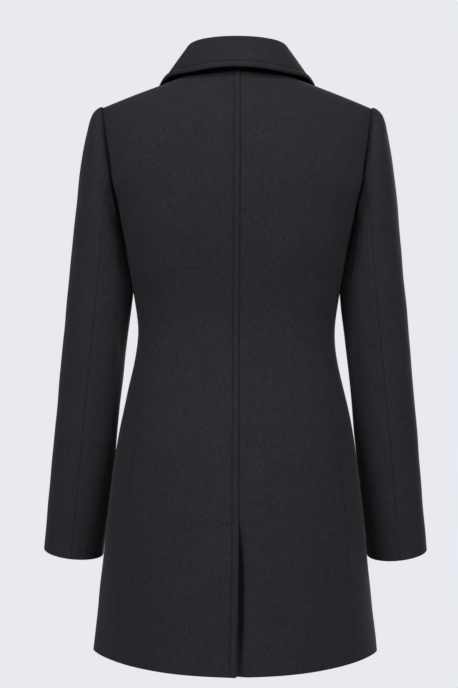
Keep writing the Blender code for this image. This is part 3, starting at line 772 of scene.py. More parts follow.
SLEEVE_CREASES = (
    Crease((0.166, -0.044, -0.168), (0.143, -0.025, -0.415), 0.019, 0.0074),
    Crease((-0.166, -0.044, -0.172), (-0.143, -0.025, -0.425), 0.020, 0.0078),
)
RIPPLES = (
    Ripple((1.0, 0.3, 0.15), 0.090, 0.00022, 0.4),
    Ripple((0.2, 0.5, 1.0), 0.130, 0.00026, 1.9),
    Ripple((-0.8, 0.4, 0.9), 0.061, 0.00014, 3.1),
    Ripple((0.7, -0.6, 1.1), 0.047, 0.00010, 5.0),
)


@dataclass(frozen=True)
class Drape:
    """How far the cloth lies off its form, as one field for every piece, so that seams stay together."""

    creases: tuple = CREASES
    ripples: tuple = RIPPLES
    end_strength: float = 0.35
    end_share: float = 0.05

    def lift(self, points: Points) -> Points:
        """Lift along the normal at points of the cloth.

        Args:
            points: Points of the cloth.

        Returns:
            The lift at each point.
        """
        found = np.zeros(points.shape[:-1])
        for crease in self.creases:
            start, end = np.array(crease.start), np.array(crease.end)
            run = end - start
            share = np.clip(((points - start) @ run) / (run @ run), 0, 1)
            away = np.linalg.norm(points - start - share[..., None] * run, axis=-1) / crease.half_width
            kept = np.clip(share, self.end_share, 1 - self.end_share)
            fade = self.end_strength + (1 - self.end_strength) * np.sin(math.pi * kept)
            found -= crease.depth * fade * np.exp(-(away**2))
        for ripple in self.ripples:
            way = unit(np.array(ripple.direction))
            found += ripple.height * np.sin(points @ way * FULL_TURN / ripple.length + ripple.start)
        return found


# Finishes


class NodeBoard:
    """A material's node tree, with short ways to add and join nodes."""

    def __init__(self, name: str) -> None:
        """A new material with only its shader and output.

        Args:
            name: The material's name.
        """
        self.material = bpy.data.materials.new(name)
        self.material.use_nodes = True
        self.tree = self.material.node_tree
        self.shader = self.tree.nodes["Principled BSDF"]

    def add(self, kind: str, inputs: dict | None = None, **settings: object) -> bpy.types.Node:
        """Adds a node.

        Args:
            kind: The node's Blender type.
            inputs: Socket name or number to a value, or to a socket to join.
            settings: The node's own settings.

        Returns:
            The node.
        """
        made = self.tree.nodes.new(kind)
        for name, value in settings.items():
            setattr(made, name, value)
        for name, value in (inputs or {}).items():
            self.feed(made.inputs[name], value)
        return made

    def feed(self, socket: Socket, value: object) -> None:
        """Sets a socket's value, or joins another socket to it.

        Args:
            socket: The socket.
            value: A plain value or another socket.
        """
        if isinstance(value, Socket):
            self.tree.links.new(value, socket)
        else:
            socket.default_value = value

    def noise(self, vector: Socket, scale: float, detail: float, rough: float = 0.5) -> Socket:
        """A noise pattern's value."""
        settings = {"Vector": vector, "Scale": scale, "Detail": detail, "Roughness": rough}
        return self.add("ShaderNodeTexNoise", settings).outputs[0]

    def stretched(self, vector: Socket, scale: tuple, turn: float = 0.0) -> Socket:
        """A vector turned about Z and scaled."""
        turned = {"Vector": vector, "Rotation": (0.0, 0.0, turn), "Scale": scale}
        return self.add("ShaderNodeMapping", turned).outputs[0]

    def ranged(
        self, value: object, low: float, high: float, start: float = 0.3, stop: float = 0.7
    ) -> Socket:
        """A value from start to stop, spread from low to high."""
        spread = {"Value": value, "From Min": start, "From Max": stop, "To Min": low, "To Max": high}
        return self.add("ShaderNodeMapRange", spread).outputs[0]

    def maths(self, operation: str, first: object, second: object) -> Socket:
        """Two values combined."""
        return self.add("ShaderNodeMath", {0: first, 1: second}, operation=operation).outputs[0]

    def bands(self, vector: Socket, pitch: float, turn: float, **more: float) -> Socket:
        """Even bands a pitch apart, turned about Z."""
        slope = {"Vector": self.stretched(vector, (1, 1, 1), turn), "Scale": WAVE_LENGTH / pitch}
        return self.add("ShaderNodeTexWave", {**slope, **more}).outputs[1]

    def tint(self, colour: tuple, shade: object) -> None:
        """Gives the shader a colour that a pattern makes lighter and darker."""
        scaled = self.add("ShaderNodeVectorMath", {0: colour, "Scale": shade}, operation="SCALE")
        self.feed(self.shader.inputs["Base Color"], scaled.outputs[0])

    def bump(self, height: object, distance: float, strength: float) -> None:
        """Raises the surface by a pattern."""
        raised = self.add("ShaderNodeBump", {"Height": height, "Distance": distance, "Strength": strength})
        self.feed(self.shader.inputs["Normal"], raised.outputs[0])

    def surface(self, values: dict) -> None:
        """Sets or joins the shader's own sockets by name."""
        for name, value in values.items():
            self.feed(self.shader.inputs[name], value)

    def product(self, values: list) -> Socket:
        """Values multiplied together.

        Args:
            values: Sockets or numbers.

        Returns:
            The product's socket.
        """
        total = values[0]
        for value in values[1:]:
            total = self.maths("MULTIPLY", total, value)
        return total


@dataclass(frozen=True)
class WoolFinish:
    """Milled wool with a short nap: mixed fibres, a faint twill under them, a soft sheen, and folded edges
    lightened by a painted highlight that also stands for rubbed nap.
    """

    name: str = "milled_wool"
    colour: tuple = (0.0216, 0.0192, 0.0239)
    fibre_scale: float = 1500.0
    fibre_roughness: float = 0.65
    fleck_scale: float = 560.0
    fleck_roughness: float = 0.6
    mottle_scale: float = 170.0
    cloud_scale: float = 24.0
    thread_scale: tuple = (950.0, 110.0)
    fleck: float = 0.28
    mottle: float = 0.10
    cloud: float = 0.05
    thread: float = 0.13
    # How much the folded edges are lightened: painted highlight, with rubbed nap.
    lit_and_rubbed_edge: float = 0.12
    twill_pitch: float = 0.0014
    twill_turn: float = math.radians(32)
    roughness: tuple = (0.98, 0.84)
    nap_mix: tuple = (0.6, 0.25, 0.4)
    nap_height: float = 0.00035
    nap_strength: float = 0.45
    specular: float = 0.25
    sheen: float = 0.10
    sheen_roughness: float = 0.30
    sheen_tint: tuple = (0.86, 0.86, 0.90, 1.0)

    def material(self) -> bpy.types.Material:
        """Makes the wool.

        Returns:
            The material.
        """
        board = NodeBoard(self.name)
        coords = board.add("ShaderNodeTexCoord")
        place, flat = coords.outputs["Object"], coords.outputs["UV"]
        fibre = board.noise(place, self.fibre_scale, 3, self.fibre_roughness)
        fleck = board.noise(place, self.fleck_scale, 3, self.fleck_roughness)
        mottle = board.noise(place, self.mottle_scale, 2)
        cloud = board.noise(place, self.cloud_scale, 2)
        close, long = self.thread_scale
        warp = board.noise(board.stretched(flat, (close, long, 1)), 1.0, 2)
        weft = board.noise(board.stretched(flat, (long, close, 1)), 1.0, 2)
        twill = board.bands(flat, self.twill_pitch, self.twill_turn, Distortion=1.2, Detail=1.0)
        # The edge attribute, high near folded edges, lightens the wool there: painted highlight, with rubbed
        # nap.
        lit_and_rubbed_edge = board.add("ShaderNodeAttribute", attribute_name="edge").outputs["Fac"]
        patterns = (fleck, mottle, cloud, warp, weft)
        depths = (self.fleck, self.mottle, self.cloud, self.thread, self.thread)
        shades = [board.ranged(value, 1 - depth, 1 + depth) for value, depth in zip(patterns, depths)]
        board.tint(self.colour, board.product([*shades, board.ranged(lit_and_rubbed_edge, 1.0, 1 + self.lit_and_rubbed_edge, 0.0, 1.0)]))
        parts = (fibre, twill, fleck)
        parts = [board.maths("MULTIPLY", value, share) for value, share in zip(parts, self.nap_mix)]
        nap = board.maths("ADD", board.maths("ADD", parts[0], parts[1]), parts[2])
        board.bump(nap, self.nap_height, self.nap_strength)
        board.surface(
            {
                "Roughness": board.ranged(fleck, *self.roughness),
                "Specular IOR Level": self.specular,
                "Sheen Weight": self.sheen,
                "Sheen Roughness": self.sheen_roughness,
                "Sheen Tint": self.sheen_tint,
            }
        )
        return board.material


@dataclass(frozen=True)
class ThreadFinish:
    """Dark twisted sewing thread."""

    name: str = "sewing_thread"
    colour: tuple = (0.0128, 0.0116, 0.0142)
    twist_pitch: float = 0.0006
    twist_turn: float = math.radians(35)
    twist_shade: float = 0.25
    twist_height: float = 0.0001
    twist_strength: float = 0.4
    roughness: float = 0.8
    specular: float = 0.1

    def material(self) -> bpy.types.Material:
        """Makes the thread.

        Returns:
            The material.
        """
        board = NodeBoard(self.name)
        place = board.add("ShaderNodeTexCoord").outputs["Object"]
        twist = board.bands(place, self.twist_pitch, self.twist_turn)
        board.tint(self.colour, board.ranged(twist, 1 - self.twist_shade, 1 + self.twist_shade, 0.0, 1.0))
        board.bump(twist, self.twist_height, self.twist_strength)
        board.surface({"Roughness": self.roughness, "Specular IOR Level": self.specular})
        return board.material


@dataclass(frozen=True)
class HornFinish:
    """Polished dark horn with faint brown streaks."""

    name: str = "polished_horn"
    dark: tuple = (0.0060, 0.0055, 0.0058, 1.0)
    light: tuple = (0.0240, 0.0185, 0.0150, 1.0)
    streak_scale: tuple = (90.0, 90.0, 420.0)
    streak_turn: float = 0.4
    streak_roughness: float = 0.6
    streak_range: tuple = (0.42, 0.72)
    scuff_scale: float = 900.0
    scuff_roughness: float = 0.7
    scuff_height: float = 0.00005
    scuff_strength: float = 0.15
    roughness: tuple = (0.24, 0.40)

    def material(self) -> bpy.types.Material:
        """Makes the horn.

        Returns:
            The material.
        """
        board = NodeBoard(self.name)
        place = board.add("ShaderNodeTexCoord").outputs["Object"]
        drawn = board.stretched(place, self.streak_scale, self.streak_turn)
        streak = board.noise(drawn, 1.0, 4, self.streak_roughness)
        share = board.ranged(streak, 0.0, 1.0, *self.streak_range)
        mix = board.add("ShaderNodeMix", {0: share, 6: self.dark, 7: self.light}, data_type="RGBA")
        scuff = board.noise(place, self.scuff_scale, 3, self.scuff_roughness)
        board.bump(scuff, self.scuff_height, self.scuff_strength)
        board.surface({"Base Color": mix.outputs[2], "Roughness": board.ranged(scuff, *self.roughness)})
        return board.material


@dataclass
class Finishes:
    """The coat's materials, made once."""

    wool: bpy.types.Material = field(default_factory=lambda: WoolFinish().material())
    thread: bpy.types.Material = field(default_factory=lambda: ThreadFinish().material())
    horn: bpy.types.Material = field(default_factory=lambda: HornFinish().material())


# Cloth shells


def fit(made: bpy.types.Object, finish: bpy.types.Material, node: str | None = None) -> None:
    """Gives an object its finish and its place in the frame.

    Args:
        made: The object.
        finish: Its material.
        node: The CAD node that it replaces, where it does.
    """
    made.data.materials.append(finish)
    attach(made, ROOT)
    if node:
        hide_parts(node)


class EdgeShape(NamedTuple):
    """How far in an edge is rounded, how far its faces draw together, and how far it is drawn out."""

    reach: float
    drop: float
    rise: float
    tuck: float


EDGE_SHAPES = {
    Edge.SEAM: EdgeShape(0.0016, 0.0019, 0.0, 0.0003),
    Edge.PRESSED: EdgeShape(0.0013, 0.0012, 0.0, 0.0003),
    Edge.FOLD: EdgeShape(0.0014, 0.0011, 0.0010, 0.0),
}


class Groove(NamedTuple):
    """A line of stitches that draws the cloth in, at an inset from a long border, up to a height."""

    border: Border
    inset: float = STITCH_INSET
    depth: float = 0.0014
    half_width: float = 0.0012
    swell: float = 0.0007
    high: float = math.inf


class Cut(NamedTuple):
    """The flat size that a cloth piece is cut to, and its area."""

    width: float
    length: float
    area: float


@dataclass
class ClothPiece:
    """A cloth piece: a grid on its outside, and what makes it a closed shell.

    Attributes:
        name: The piece's name.
        node: The CAD node that it replaces.
        grid: Points of the outside, rows by columns.
        normals: Directions out of the cloth.
        edges: How each border is finished.
        cut: The flat size it is cut to.
        wall: Thickness of the cloth.
        grooves: Lines of stitching.
        drape: The field of creases, where the piece has it.
        outer: Points of the outer face, once it is built.
    """

    name: str
    node: str
    grid: Points
    normals: Points
    edges: dict
    cut: Cut
    wall: float = WALL
    grooves: tuple = ()
    drape: Drape | None = None
    outer: Points | None = None

    def distance(self, border: Border) -> Points:
        """How far each point lies from a border.

        Args:
            border: The border.

        Returns:
            The distances along the cloth.
        """
        axis = 1 if border in (Border.FIRST_COLUMN, Border.LAST_COLUMN) else 0
        lengths = run_lengths(self.grid, axis)
        if border in (Border.FIRST_COLUMN, Border.FIRST_ROW):
            return lengths
        return np.take(lengths, [-1], axis) - lengths

    def relief(self) -> Points:
        """Lift of the outer face by its stitching.

        Returns:
            The lift at each point.
        """
        found = np.zeros(self.grid.shape[:-1])
        z = self.grid[..., 2]
        for groove in self.grooves:
            away = self.distance(groove.border)
            inside = ease((groove.high - z) / GROOVE_FADE)
            found -= groove.depth * inside * np.exp(-(((away - groove.inset) / groove.half_width) ** 2))
            crown = np.sin(math.pi * np.clip(away / groove.inset, 0, 1))
            found += groove.swell * inside * crown
        return found

    def faces(self) -> tuple:
        """Outer and inner points of the shell, and how near each is to a folded edge, for the painted
        highlight and rubbed nap there.

        Returns:
            The outer points, the inner points and the nearness.
        """
        drop = np.zeros(self.grid.shape[:-1])
        rise = np.zeros(self.grid.shape[:-1])
        lit_and_rubbed_edge = np.zeros(self.grid.shape[:-1])
        for border, edge in self.edges.items():
            shape = EDGE_SHAPES[edge]
            away = self.distance(border)
            near = 1 - np.clip(away / shape.reach, 0, 1)
            curve = 1 - np.sqrt(1 - np.clip(near, 0, ALMOST_EDGE) ** 2)
            drop = np.maximum(drop, shape.drop * curve)
            rise = np.maximum(rise, shape.rise * curve)
            # Nearness to a fold, which the wool lightens as painted highlight and rubbed nap.
            if edge is Edge.FOLD:
                lit_and_rubbed_edge = np.maximum(lit_and_rubbed_edge, np.exp(-away / LIT_EDGE_REACH))
        sway = self.drape.lift(self.grid) if self.drape else 0.0
        grid = self.tucked()
        outer = grid + self.normals * (sway + self.relief() - drop)[..., None]
        inner = grid + self.normals * (sway - self.wall + rise)[..., None]
        return outer, inner, lit_and_rubbed_edge

    def tucked(self) -> Points:
        """The grid with its sewn borders drawn out a little, so that they meet the next piece.

        Returns:
            The grid.
        """
        grid = self.grid.copy()
        ends = {
            Border.FIRST_COLUMN: (np.s_[:, 0], np.s_[:, 1]),
            Border.LAST_COLUMN: (np.s_[:, -1], np.s_[:, -2]),
            Border.FIRST_ROW: (np.s_[0], np.s_[1]),
            Border.LAST_ROW: (np.s_[-1], np.s_[-2]),
        }
        for border, edge in self.edges.items():
            rim, next_in = ends[border]
            grid[rim] += EDGE_SHAPES[edge].tuck * unit(self.grid[rim] - self.grid[next_in])
        return grid

    def build(self) -> bpy.types.Object:
        """Makes the shell's object, with a flat map in metres and an attribute that marks its folds for
        painted highlight and rubbed nap.

        Returns:
            The object.
        """
        outer, inner, lit_and_rubbed_edge = self.faces()
        self.outer = outer
        rows, columns = outer.shape[:2]
        count = rows * columns
        index = np.arange(count).reshape(rows, columns)
        quads = np.stack([index[:-1, :-1], index[:-1, 1:], index[1:, 1:], index[1:, :-1]], -1)
        quads = quads.reshape(-1, 4)
        middle = (rows // 2, columns // 2)
        across = outer[middle[0], middle[1] + 1] - outer[middle]
        along = outer[middle[0] + 1, middle[1]] - outer[middle]
        if np.dot(np.cross(across, along), self.normals[middle]) < 0:
            quads = quads[:, ::-1]
        rim = np.concatenate([index[0, :-1], index[:-1, -1], index[-1, :0:-1], index[:0:-1, 0]])
        after = np.roll(rim, -1)
        ring = np.stack([rim, rim + count, after + count, after], -1)
        if quads[0, 0] != index[0, 0]:
            ring = ring[:, ::-1]
        faces = np.concatenate([quads, quads[:, ::-1] + count, ring])
        data = bpy.data.meshes.new(self.name)
        points = np.concatenate([outer.reshape(-1, 3), inner.reshape(-1, 3)])
        data.from_pydata(points.tolist(), [], faces.tolist())
        flat = np.stack([run_lengths(self.grid, 1), run_lengths(self.grid, 0)], -1).reshape(-1, 2)
        flat = np.concatenate([flat, flat])
        corners = np.zeros(len(data.loops), np.int32)
        data.loops.foreach_get("vertex_index", corners)
        data.uv_layers.new(name="cloth").data.foreach_set("uv", flat[corners].astype(np.float32).ravel())
        # Nearness to folded edges, lightened in the wool as painted highlight and rubbed nap.
        edge = data.attributes.new("edge", "FLOAT", "POINT")
        edge.data.foreach_set("value", np.tile(lit_and_rubbed_edge.ravel(), 2).astype(np.float32))
        data.shade_smooth()
        data.set_sharp_from_angle(angle=SHARP_ANGLE)
        data.update()
        made = bpy.data.objects.new(self.name, data)
        bpy.context.scene.collection.objects.link(made)
        return made

    def line(self, groove: Groove) -> tuple:
        """Points along a groove on the built outer face, and the normals there.

        Args:
            groove: The groove.

        Returns:
            The points and the normals.
        """
        away = self.distance(groove.border)
        both = np.concatenate([self.outer, self.normals], axis=-1)
        if groove.border is Border.LAST_COLUMN:
            away, both = away[:, ::-1], both[:, ::-1]
        found = [[np.interp(groove.inset, far, row[:, k]) for k in range(6)] for far, row in zip(away, both)]
        line, directions = np.split(np.array(found), 2, axis=1)
        kept = line[:, 2] <= groove.high
        return line[kept], unit(directions)[kept]

    def lines(self) -> list:
        """A line of points and normals for each groove."""
        return [self.line(groove) for groove in self.grooves]

    def dress(self, finish: bpy.types.Material) -> bpy.types.Object:
        """Builds the shell, gives it its cloth and fits it to the frame.

        Args:
            finish: The cloth's material.

        Returns:
            The object.
        """
        made = self.build()
        fit(made, finish, self.node)
        LOG.info("%s: %d faces", self.name, len(made.data.polygons))
        return made


def mirrored(side: Side, *grids: Points) -> list:
    """Grids of the right side, turned over to the side asked for."""
    return [grid * np.array([side.value, 1, 1]) for grid in grids]


def sided_piece(name: str, side: Side, plan: ColumnPlan, surface: tuple, **rest: object) -> ClothPiece:
    """A cloth piece of one side.

    Args:
        name: The piece's name without its side.
        side: The side it is on.
        plan: Where its columns lie.
        surface: Dense points and normals of the right side.
        rest: The piece's other fields.

    Returns:
        The piece.
    """
    node = f"{name}_{side.name.lower()}"
    points, normals = mirrored(side, *plan.spread(*surface))
    return ClothPiece(f"{node}_cloth", node, points, unit(normals), **rest)


class ClothGroup:
    """A group of cloth pieces, kept under the nodes that they replace."""

    pieces: dict

    def keep(self, piece: ClothPiece) -> None:
        """Keeps a piece under its node."""
        self.pieces[piece.node] = piece

    def dress(self, finishes: Finishes) -> None:
        """Makes every piece in wool."""
        for piece in self.pieces.values():
            piece.dress(finishes.wool)


# Body panels


PANEL_EDGES = {
    Border.FIRST_COLUMN: Edge.SEAM,
    Border.LAST_COLUMN: Edge.SEAM,
    Border.LAST_ROW: Edge.SEAM,
    Border.FIRST_ROW: Edge.FOLD,
}


@dataclass
class BodyPanels(ClothGroup):
    """The two backs, two side panels and two fronts."""

    form: BodyForm
    drape: Drape
    row_fine: float = 0.00025
    row_coarse: float = 0.0045
    yoke_run: float = 0.200
    neck_share: float = 0.5
    gorge_row: float = 1.6
    wide_columns: int = 34
    side_columns: int = 26
    centre_seam_x: float = 0.0042
    vent_top_z: float = -0.600
    vent_swing: float = 0.0028
    vent_underlap: float = 0.042
    vent_slant: tuple = (-0.611, -0.648)
    vent_dip: float = 0.0045
    vent_dip_span: tuple = (0.003, 0.017)
    vent_dip_end: float = 0.85
    vent_gap: float = 0.0090
    vent_well: float = 0.0060
    well_opens: float = 0.15
    well_closes: float = 0.7
    well_loss: float = 0.5
    well_edge: tuple = (0.0045, 0.0065)
    vent_rise: float = 0.0030
    vent_rise_span: float = 0.026
    vent_rise_end: float = 0.8
    hem_sag: float = 0.0004
    hem_sag_span: float = 0.030
    hem_sag_height: float = 0.06
    inset_span: tuple = (0.030, 0.095)
    stay: tuple = ((0.0060, -0.6023), (0.0290, -0.6120))
    stay_lift: float = 0.0004
    stay_steps: int = 24
    back_cut: Cut = Cut(0.235, 0.860, 0.160)
    side_cut: Cut = Cut(0.190, 0.610, 0.085)
    front_cut: Cut = Cut(0.260, 0.860, 0.165)
    pieces: dict = field(default_factory=dict)

    def rows(self, low: float, high: float) -> Points:
        """Row places from 0 at the hem to 1 at the armhole's join and 2 at the top.

        Args:
            low: Length below the join.
            high: Length above it.

        Returns:
            The places.
        """
        places = graded(low + high, self.row_fine, self.row_coarse)
        places[-1] -= HALF_GAP
        return np.where(places < low, places / low, 1 + (places - low) / max(high, TINY))

    def levels(self, rows: Points, top: float) -> Points:
        """Levels of an edge that runs from the hem through the join to a top level."""
        low = HEM_Z + np.minimum(rows, 1) * (self.form.join_z - HEM_Z)
        return low + np.maximum(rows - 1, 0) * (top - self.form.join_z)

    def arm_edge(self, rows: Points, rear: bool) -> Points:
        """The long seam up to the join, then the armhole up to the shoulder.

        Args:
            rows: Row places.
            rear: Whether the seam is the back's.

        Returns:
            An angle and a level for each row.
        """
        levels = self.levels(np.minimum(rows, 1), self.form.join_z)
        seam = self.form.side_back_seam(levels) if rear else self.form.side_front_seam(levels)
        turn = self.form.armhole_join * (2 - np.maximum(rows, 1))
        arm = self.form.armhole(turn if rear else FULL_TURN - turn)
        return np.where(rows[:, None] <= 1, seam, arm)

    def vent_share(self, z: Points) -> Points:
        """How far down the vent a height is, 0 at its top and 1 at the hem."""
        return np.clip((self.vent_top_z - z) / (self.vent_top_z - HEM_Z), 0, 1)

    def centre_edge(self, z: Points, side: Side) -> Points:
        """Where a back's centre edge lies: the seam, then the left's vent edge or the right's underlap.

        Args:
            z: Heights.
            side: The back's side.

        Returns:
            The distances from the centre.
        """
        if side is Side.LEFT:
            return self.vent_swing * self.vent_share(z) ** 2 - self.centre_seam_x
        top, end = self.vent_slant
        under = np.interp(z, [end, top], [1, 0])
        return self.centre_seam_x - (self.centre_seam_x + self.vent_underlap) * under

    def vent_sink(self, x: Points, z: Points) -> Points:
        """How far the right back sinks to pass under the left's vent edge.

        Args:
            x: Distances from the centre.
            z: Heights.

        Returns:
            The move along the normal.
        """
        share = self.vent_share(z)
        deep = np.interp(z, [self.vent_slant[0], self.vent_top_z], [1, 0])
        fuller = self.vent_dip * np.sin(math.pi * np.minimum(share, self.vent_dip_end))
        start, end = self.vent_dip_span
        near = 1 - ease((x - start) / (end - start))
        wide = self.vent_gap * np.sin(math.pi * np.minimum(share, 0.5))
        far = -self.centre_edge(z, Side.LEFT) + wide
        shallower = self.well_loss * ease((share - self.well_closes) / (1 - self.well_closes))
        deepest = ease(share / self.well_opens) * (1 - shallower)
        before, span = self.well_edge
        well = self.vent_well * (1 - ease((x - far + before) / span)) * deepest
        return -(WALL + LAYER_GAP + fuller) * deep * near - well

    def vent_swell(self, x: Points, z: Points) -> Points:
        """How far the left back stands off along its vent edge."""
        near = 1 - ease((x - self.centre_edge(z, Side.LEFT)) / self.vent_rise_span)
        return self.vent_rise * np.sin(math.pi * np.minimum(self.vent_share(z), self.vent_rise_end)) * near

    def hem_drop(self, x: Points, z: Points) -> Points:
        """How far the left back's hem hangs lower at the vent."""
        low = ease((HEM_Z + self.hem_sag_height - z) / self.hem_sag_height)
        return self.hem_sag * np.exp(-np.abs(x) / self.hem_sag_span) * low

    def stay_line(self) -> tuple:
        """Points and normals of the slanted row of stitches that holds the vent's top.

        Returns:
            The points and the normals.
        """
        start, end = np.array(self.stay)
        spots = start + (end - start) * np.linspace(0, 1, self.stay_steps)[:, None]
        points, normals = self.form.surface(self.form.place(spots[:, 0], spots[:, 1], True))
        points, normals = mirrored(Side.LEFT, points, normals)
        lift = self.drape.lift(points) + self.vent_swell(-points[:, 0], points[:, 2]) + self.stay_lift
        return points + normals * lift[:, None], normals

    def lap_inset(self, x: Points) -> Points:
        """How far the left front drops to pass under the right front."""
        full, end = self.inset_span
        return -(WALL + LAYER_GAP) * (1 - ease((x - full) / (end - full)))

    def back(self, side: Side) -> ClothPiece:
        """A back, from the centre seam and vent to the side back seam and the armhole.

        Args:
            side: The side it is on.

        Returns:
            The piece.
        """
        form = self.form
        first = math.asin(self.centre_seam_x / form.neck_x) / (math.pi / 2) * side.value
        shares = np.linspace(0, 1, DENSE_COLUMNS)
        neck = form.back_neck(first + (1 - first) * np.minimum(shares / self.neck_share, 1))
        past = (shares - self.neck_share) / (1 - self.neck_share)
        shoulder = form.shoulder_seam(np.maximum(past, 0), True)
        top = np.where(shares[:, None] <= self.neck_share, neck, shoulder)
        rows = self.rows(form.join_z - HEM_Z, self.yoke_run)
        levels = self.levels(rows, top[0, 1])
        turns = form.place(self.centre_edge(levels, side), levels, True)[:, 0]
        centre = np.stack([turns, levels], axis=-1)
        points, normals = form.surface(patch(centre, self.arm_edge(rows, True), top))
        x, z = points[..., 0], points[..., 2]
        if side is Side.RIGHT:
            points = points + normals * self.vent_sink(x, z)[..., None]
            first_columns, grooves = UNDERLAP_COLUMNS, ()
        else:
            drop = self.hem_drop(x, z)
            points = points + normals * self.vent_swell(x, z)[..., None]
            points[..., 2] -= drop
            first_columns, grooves = STITCHED_SEAM_COLUMNS, (Groove(Border.FIRST_COLUMN, swell=0.0009),)
        plan = ColumnPlan(first_columns, SEAM_COLUMNS, self.wide_columns, self.neck_share)
        rest = {"edges": PANEL_EDGES, "cut": self.back_cut, "grooves": grooves, "drape": self.drape}
        return sided_piece("back", side, plan, (points, normals), **rest)

    def side_panel(self, side: Side) -> ClothPiece:
        """A side panel, under the armhole between the side back and side front seams.

        Args:
            side: The side it is on.

        Returns:
            The piece.
        """
        form = self.form
        rows = np.minimum(self.rows(form.join_z - HEM_Z, 0), 1)
        levels = self.levels(rows, form.join_z)
        turns = np.linspace(form.armhole_join, FULL_TURN - form.armhole_join, DENSE_COLUMNS)
        grid = patch(form.side_back_seam(levels), form.side_front_seam(levels), form.armhole(turns))
        plan = ColumnPlan(SEAM_COLUMNS, SEAM_COLUMNS, self.side_columns)
        rest = {"edges": PANEL_EDGES, "cut": self.side_cut, "drape": self.drape}
        return sided_piece("side", side, plan, form.surface(grid), **rest)

    def front_edge(self, rows: Points) -> Points:
        """The front edge, then the roll line up to the gorge, then the neck up to the shoulder.

        Args:
            rows: Row places.

        Returns:
            An angle and a level for each row.
        """
        form = self.form
        heights = self.levels(np.minimum(rows, 1), form.join_z)
        climb = np.clip((rows - 1) / (self.gorge_row - 1), 0, 1)
        heights = heights + climb * (form.gorge[1] - form.join_z)
        roll = form.place(form.roll_x(heights), heights, False)
        neck = form.front_neck(np.clip((2 - rows) / (2 - self.gorge_row), 0, 1))
        return np.where(rows[:, None] <= self.gorge_row, roll, neck)

    def front(self, side: Side) -> ClothPiece:
        """A front, from the front edge and roll line to the side front seam and the armhole.

        Args:
            side: The side it is on.

        Returns:
            The piece.
        """
        form = self.form
        rows = self.rows(form.join_z - HEM_Z, self.yoke_run)
        top = form.shoulder_seam(np.linspace(0, 1, DENSE_COLUMNS), False)
        points, normals = form.surface(patch(self.front_edge(rows), self.arm_edge(rows, False), top))
        if side is Side.LEFT:
            points = points + normals * self.lap_inset(points[..., 0])[..., None]
        plan = ColumnPlan(STITCHED_COLUMNS, SEAM_COLUMNS, self.wide_columns)
        edges = {**PANEL_EDGES, Border.FIRST_COLUMN: Edge.FOLD}
        grooves = (Groove(Border.FIRST_COLUMN, high=form.break_z - GROOVE_FADE),)
        rest = {"edges": edges, "cut": self.front_cut, "grooves": grooves, "drape": self.drape}
        return sided_piece("front", side, plan, (points, normals), **rest)

    def build(self) -> None:
        """Works out every panel."""
        for side in Side:
            for make in (self.back, self.side_panel, self.front):
                self.keep(make(side))


# Lapels


@dataclass
class Lapels(ClothGroup):
    """The two lapels, turned back on the fronts."""

    form: BodyForm
    panels: BodyPanels
    collar_tip: tuple = (0.123, -0.062)
    tip: tuple = (0.128, -0.094)
    notch_share: float = 0.62
    belly: float = 0.012
    roll: float = 0.0030
    right_start_z: float = -0.263
    left_start_z: float = -0.231
    left_clear: float = 3 * LAYER_GAP
    corner: float = 4 / 7
    row_steps: tuple = (0.0012, 0.018)
    columns: int = 26
    cut: Cut = Cut(0.125, 0.240, 0.0145)
    pieces: dict = field(default_factory=dict)

    def outer_x(self, z: Points) -> Points:
        """The lapel's outer edge.

        Args:
            z: Heights.

        Returns:
            Its distances from the centre.
        """
        form = self.form
        share = np.clip((z - form.break_z) / (self.tip[1] - form.break_z), 0, 1)
        return -form.overlap + (self.tip[0] + form.overlap) * share + self.belly * np.sin(math.pi * share)

    def inner_x(self, z: Points, side: Side) -> Points:
        """The roll line, or for the left lapel the edge of the right front where that covers it."""
        roll = self.form.roll_x(z)
        return roll if side is Side.RIGHT else np.maximum(roll, self.left_clear - roll)

    def lapel(self, side: Side) -> ClothPiece:
        """A lapel from the roll line to its outer edge, the notch and the gorge.

        Args:
            side: The side it is on.

        Returns:
            The piece.
        """
        start = self.right_start_z if side is Side.RIGHT else self.left_start_z
        gorge_x, gorge_z = self.form.gorge
        climb = graded(1.0, *self.row_steps)
        inner_z = start + (gorge_z - LAYER_GAP - start) * climb
        outer_z = start + (self.tip[1] - start) * climb
        inner = np.stack([self.inner_x(inner_z, side), inner_z], axis=-1)
        outer = np.stack([self.outer_x(outer_z), outer_z], axis=-1)
        gorge = np.array([gorge_x, gorge_z - LAYER_GAP])
        tip = np.array([self.collar_tip[0], self.collar_tip[1] - LAYER_GAP])
        notch = gorge + (tip - gorge) * self.notch_share
        shares = np.linspace(0, 1, DENSE_COLUMNS)
        past = np.maximum((shares - self.corner) / (1 - self.corner), 0)[:, None]
        low = gorge + (notch - gorge) * np.minimum(shares / self.corner, 1)[:, None]
        high = notch + (outer[-1] - notch) * past
        grid = patch(inner, outer, np.where(shares[:, None] <= self.corner, low, high))
        base = self.panels.lap_inset(grid[..., 0]) if side is Side.LEFT else 0.0
        lift = base + LAYER_GAP + WALL + self.roll * (1 - shares) ** 2
        points, normals = self.form.surface(self.form.place(grid[..., 0], grid[..., 1], False))
        points = points + normals * lift[..., None]
        plan = ColumnPlan(FOLD_COLUMNS, STITCHED_COLUMNS, self.columns, self.corner)
        grooves = (Groove(Border.LAST_COLUMN, swell=0.0003),)
        rest = {"edges": dict.fromkeys(Border, Edge.FOLD), "cut": self.cut, "grooves": grooves}
        return sided_piece("lapel", side, plan, (points, normals), **rest)

    def build(self) -> None:
        """Works out both lapels."""
        for side in Side:
            self.keep(self.lapel(side))


# Collar


class CollarStation(NamedTuple):
    """The collar's fold and edge at a place along the neck seam, 0 at the centre back and 1 at the gorge."""

    along: float
    fold_x: float
    fold_y: float
    fold_z: float
    edge_x: float
    edge_y: float
    edge_z: float


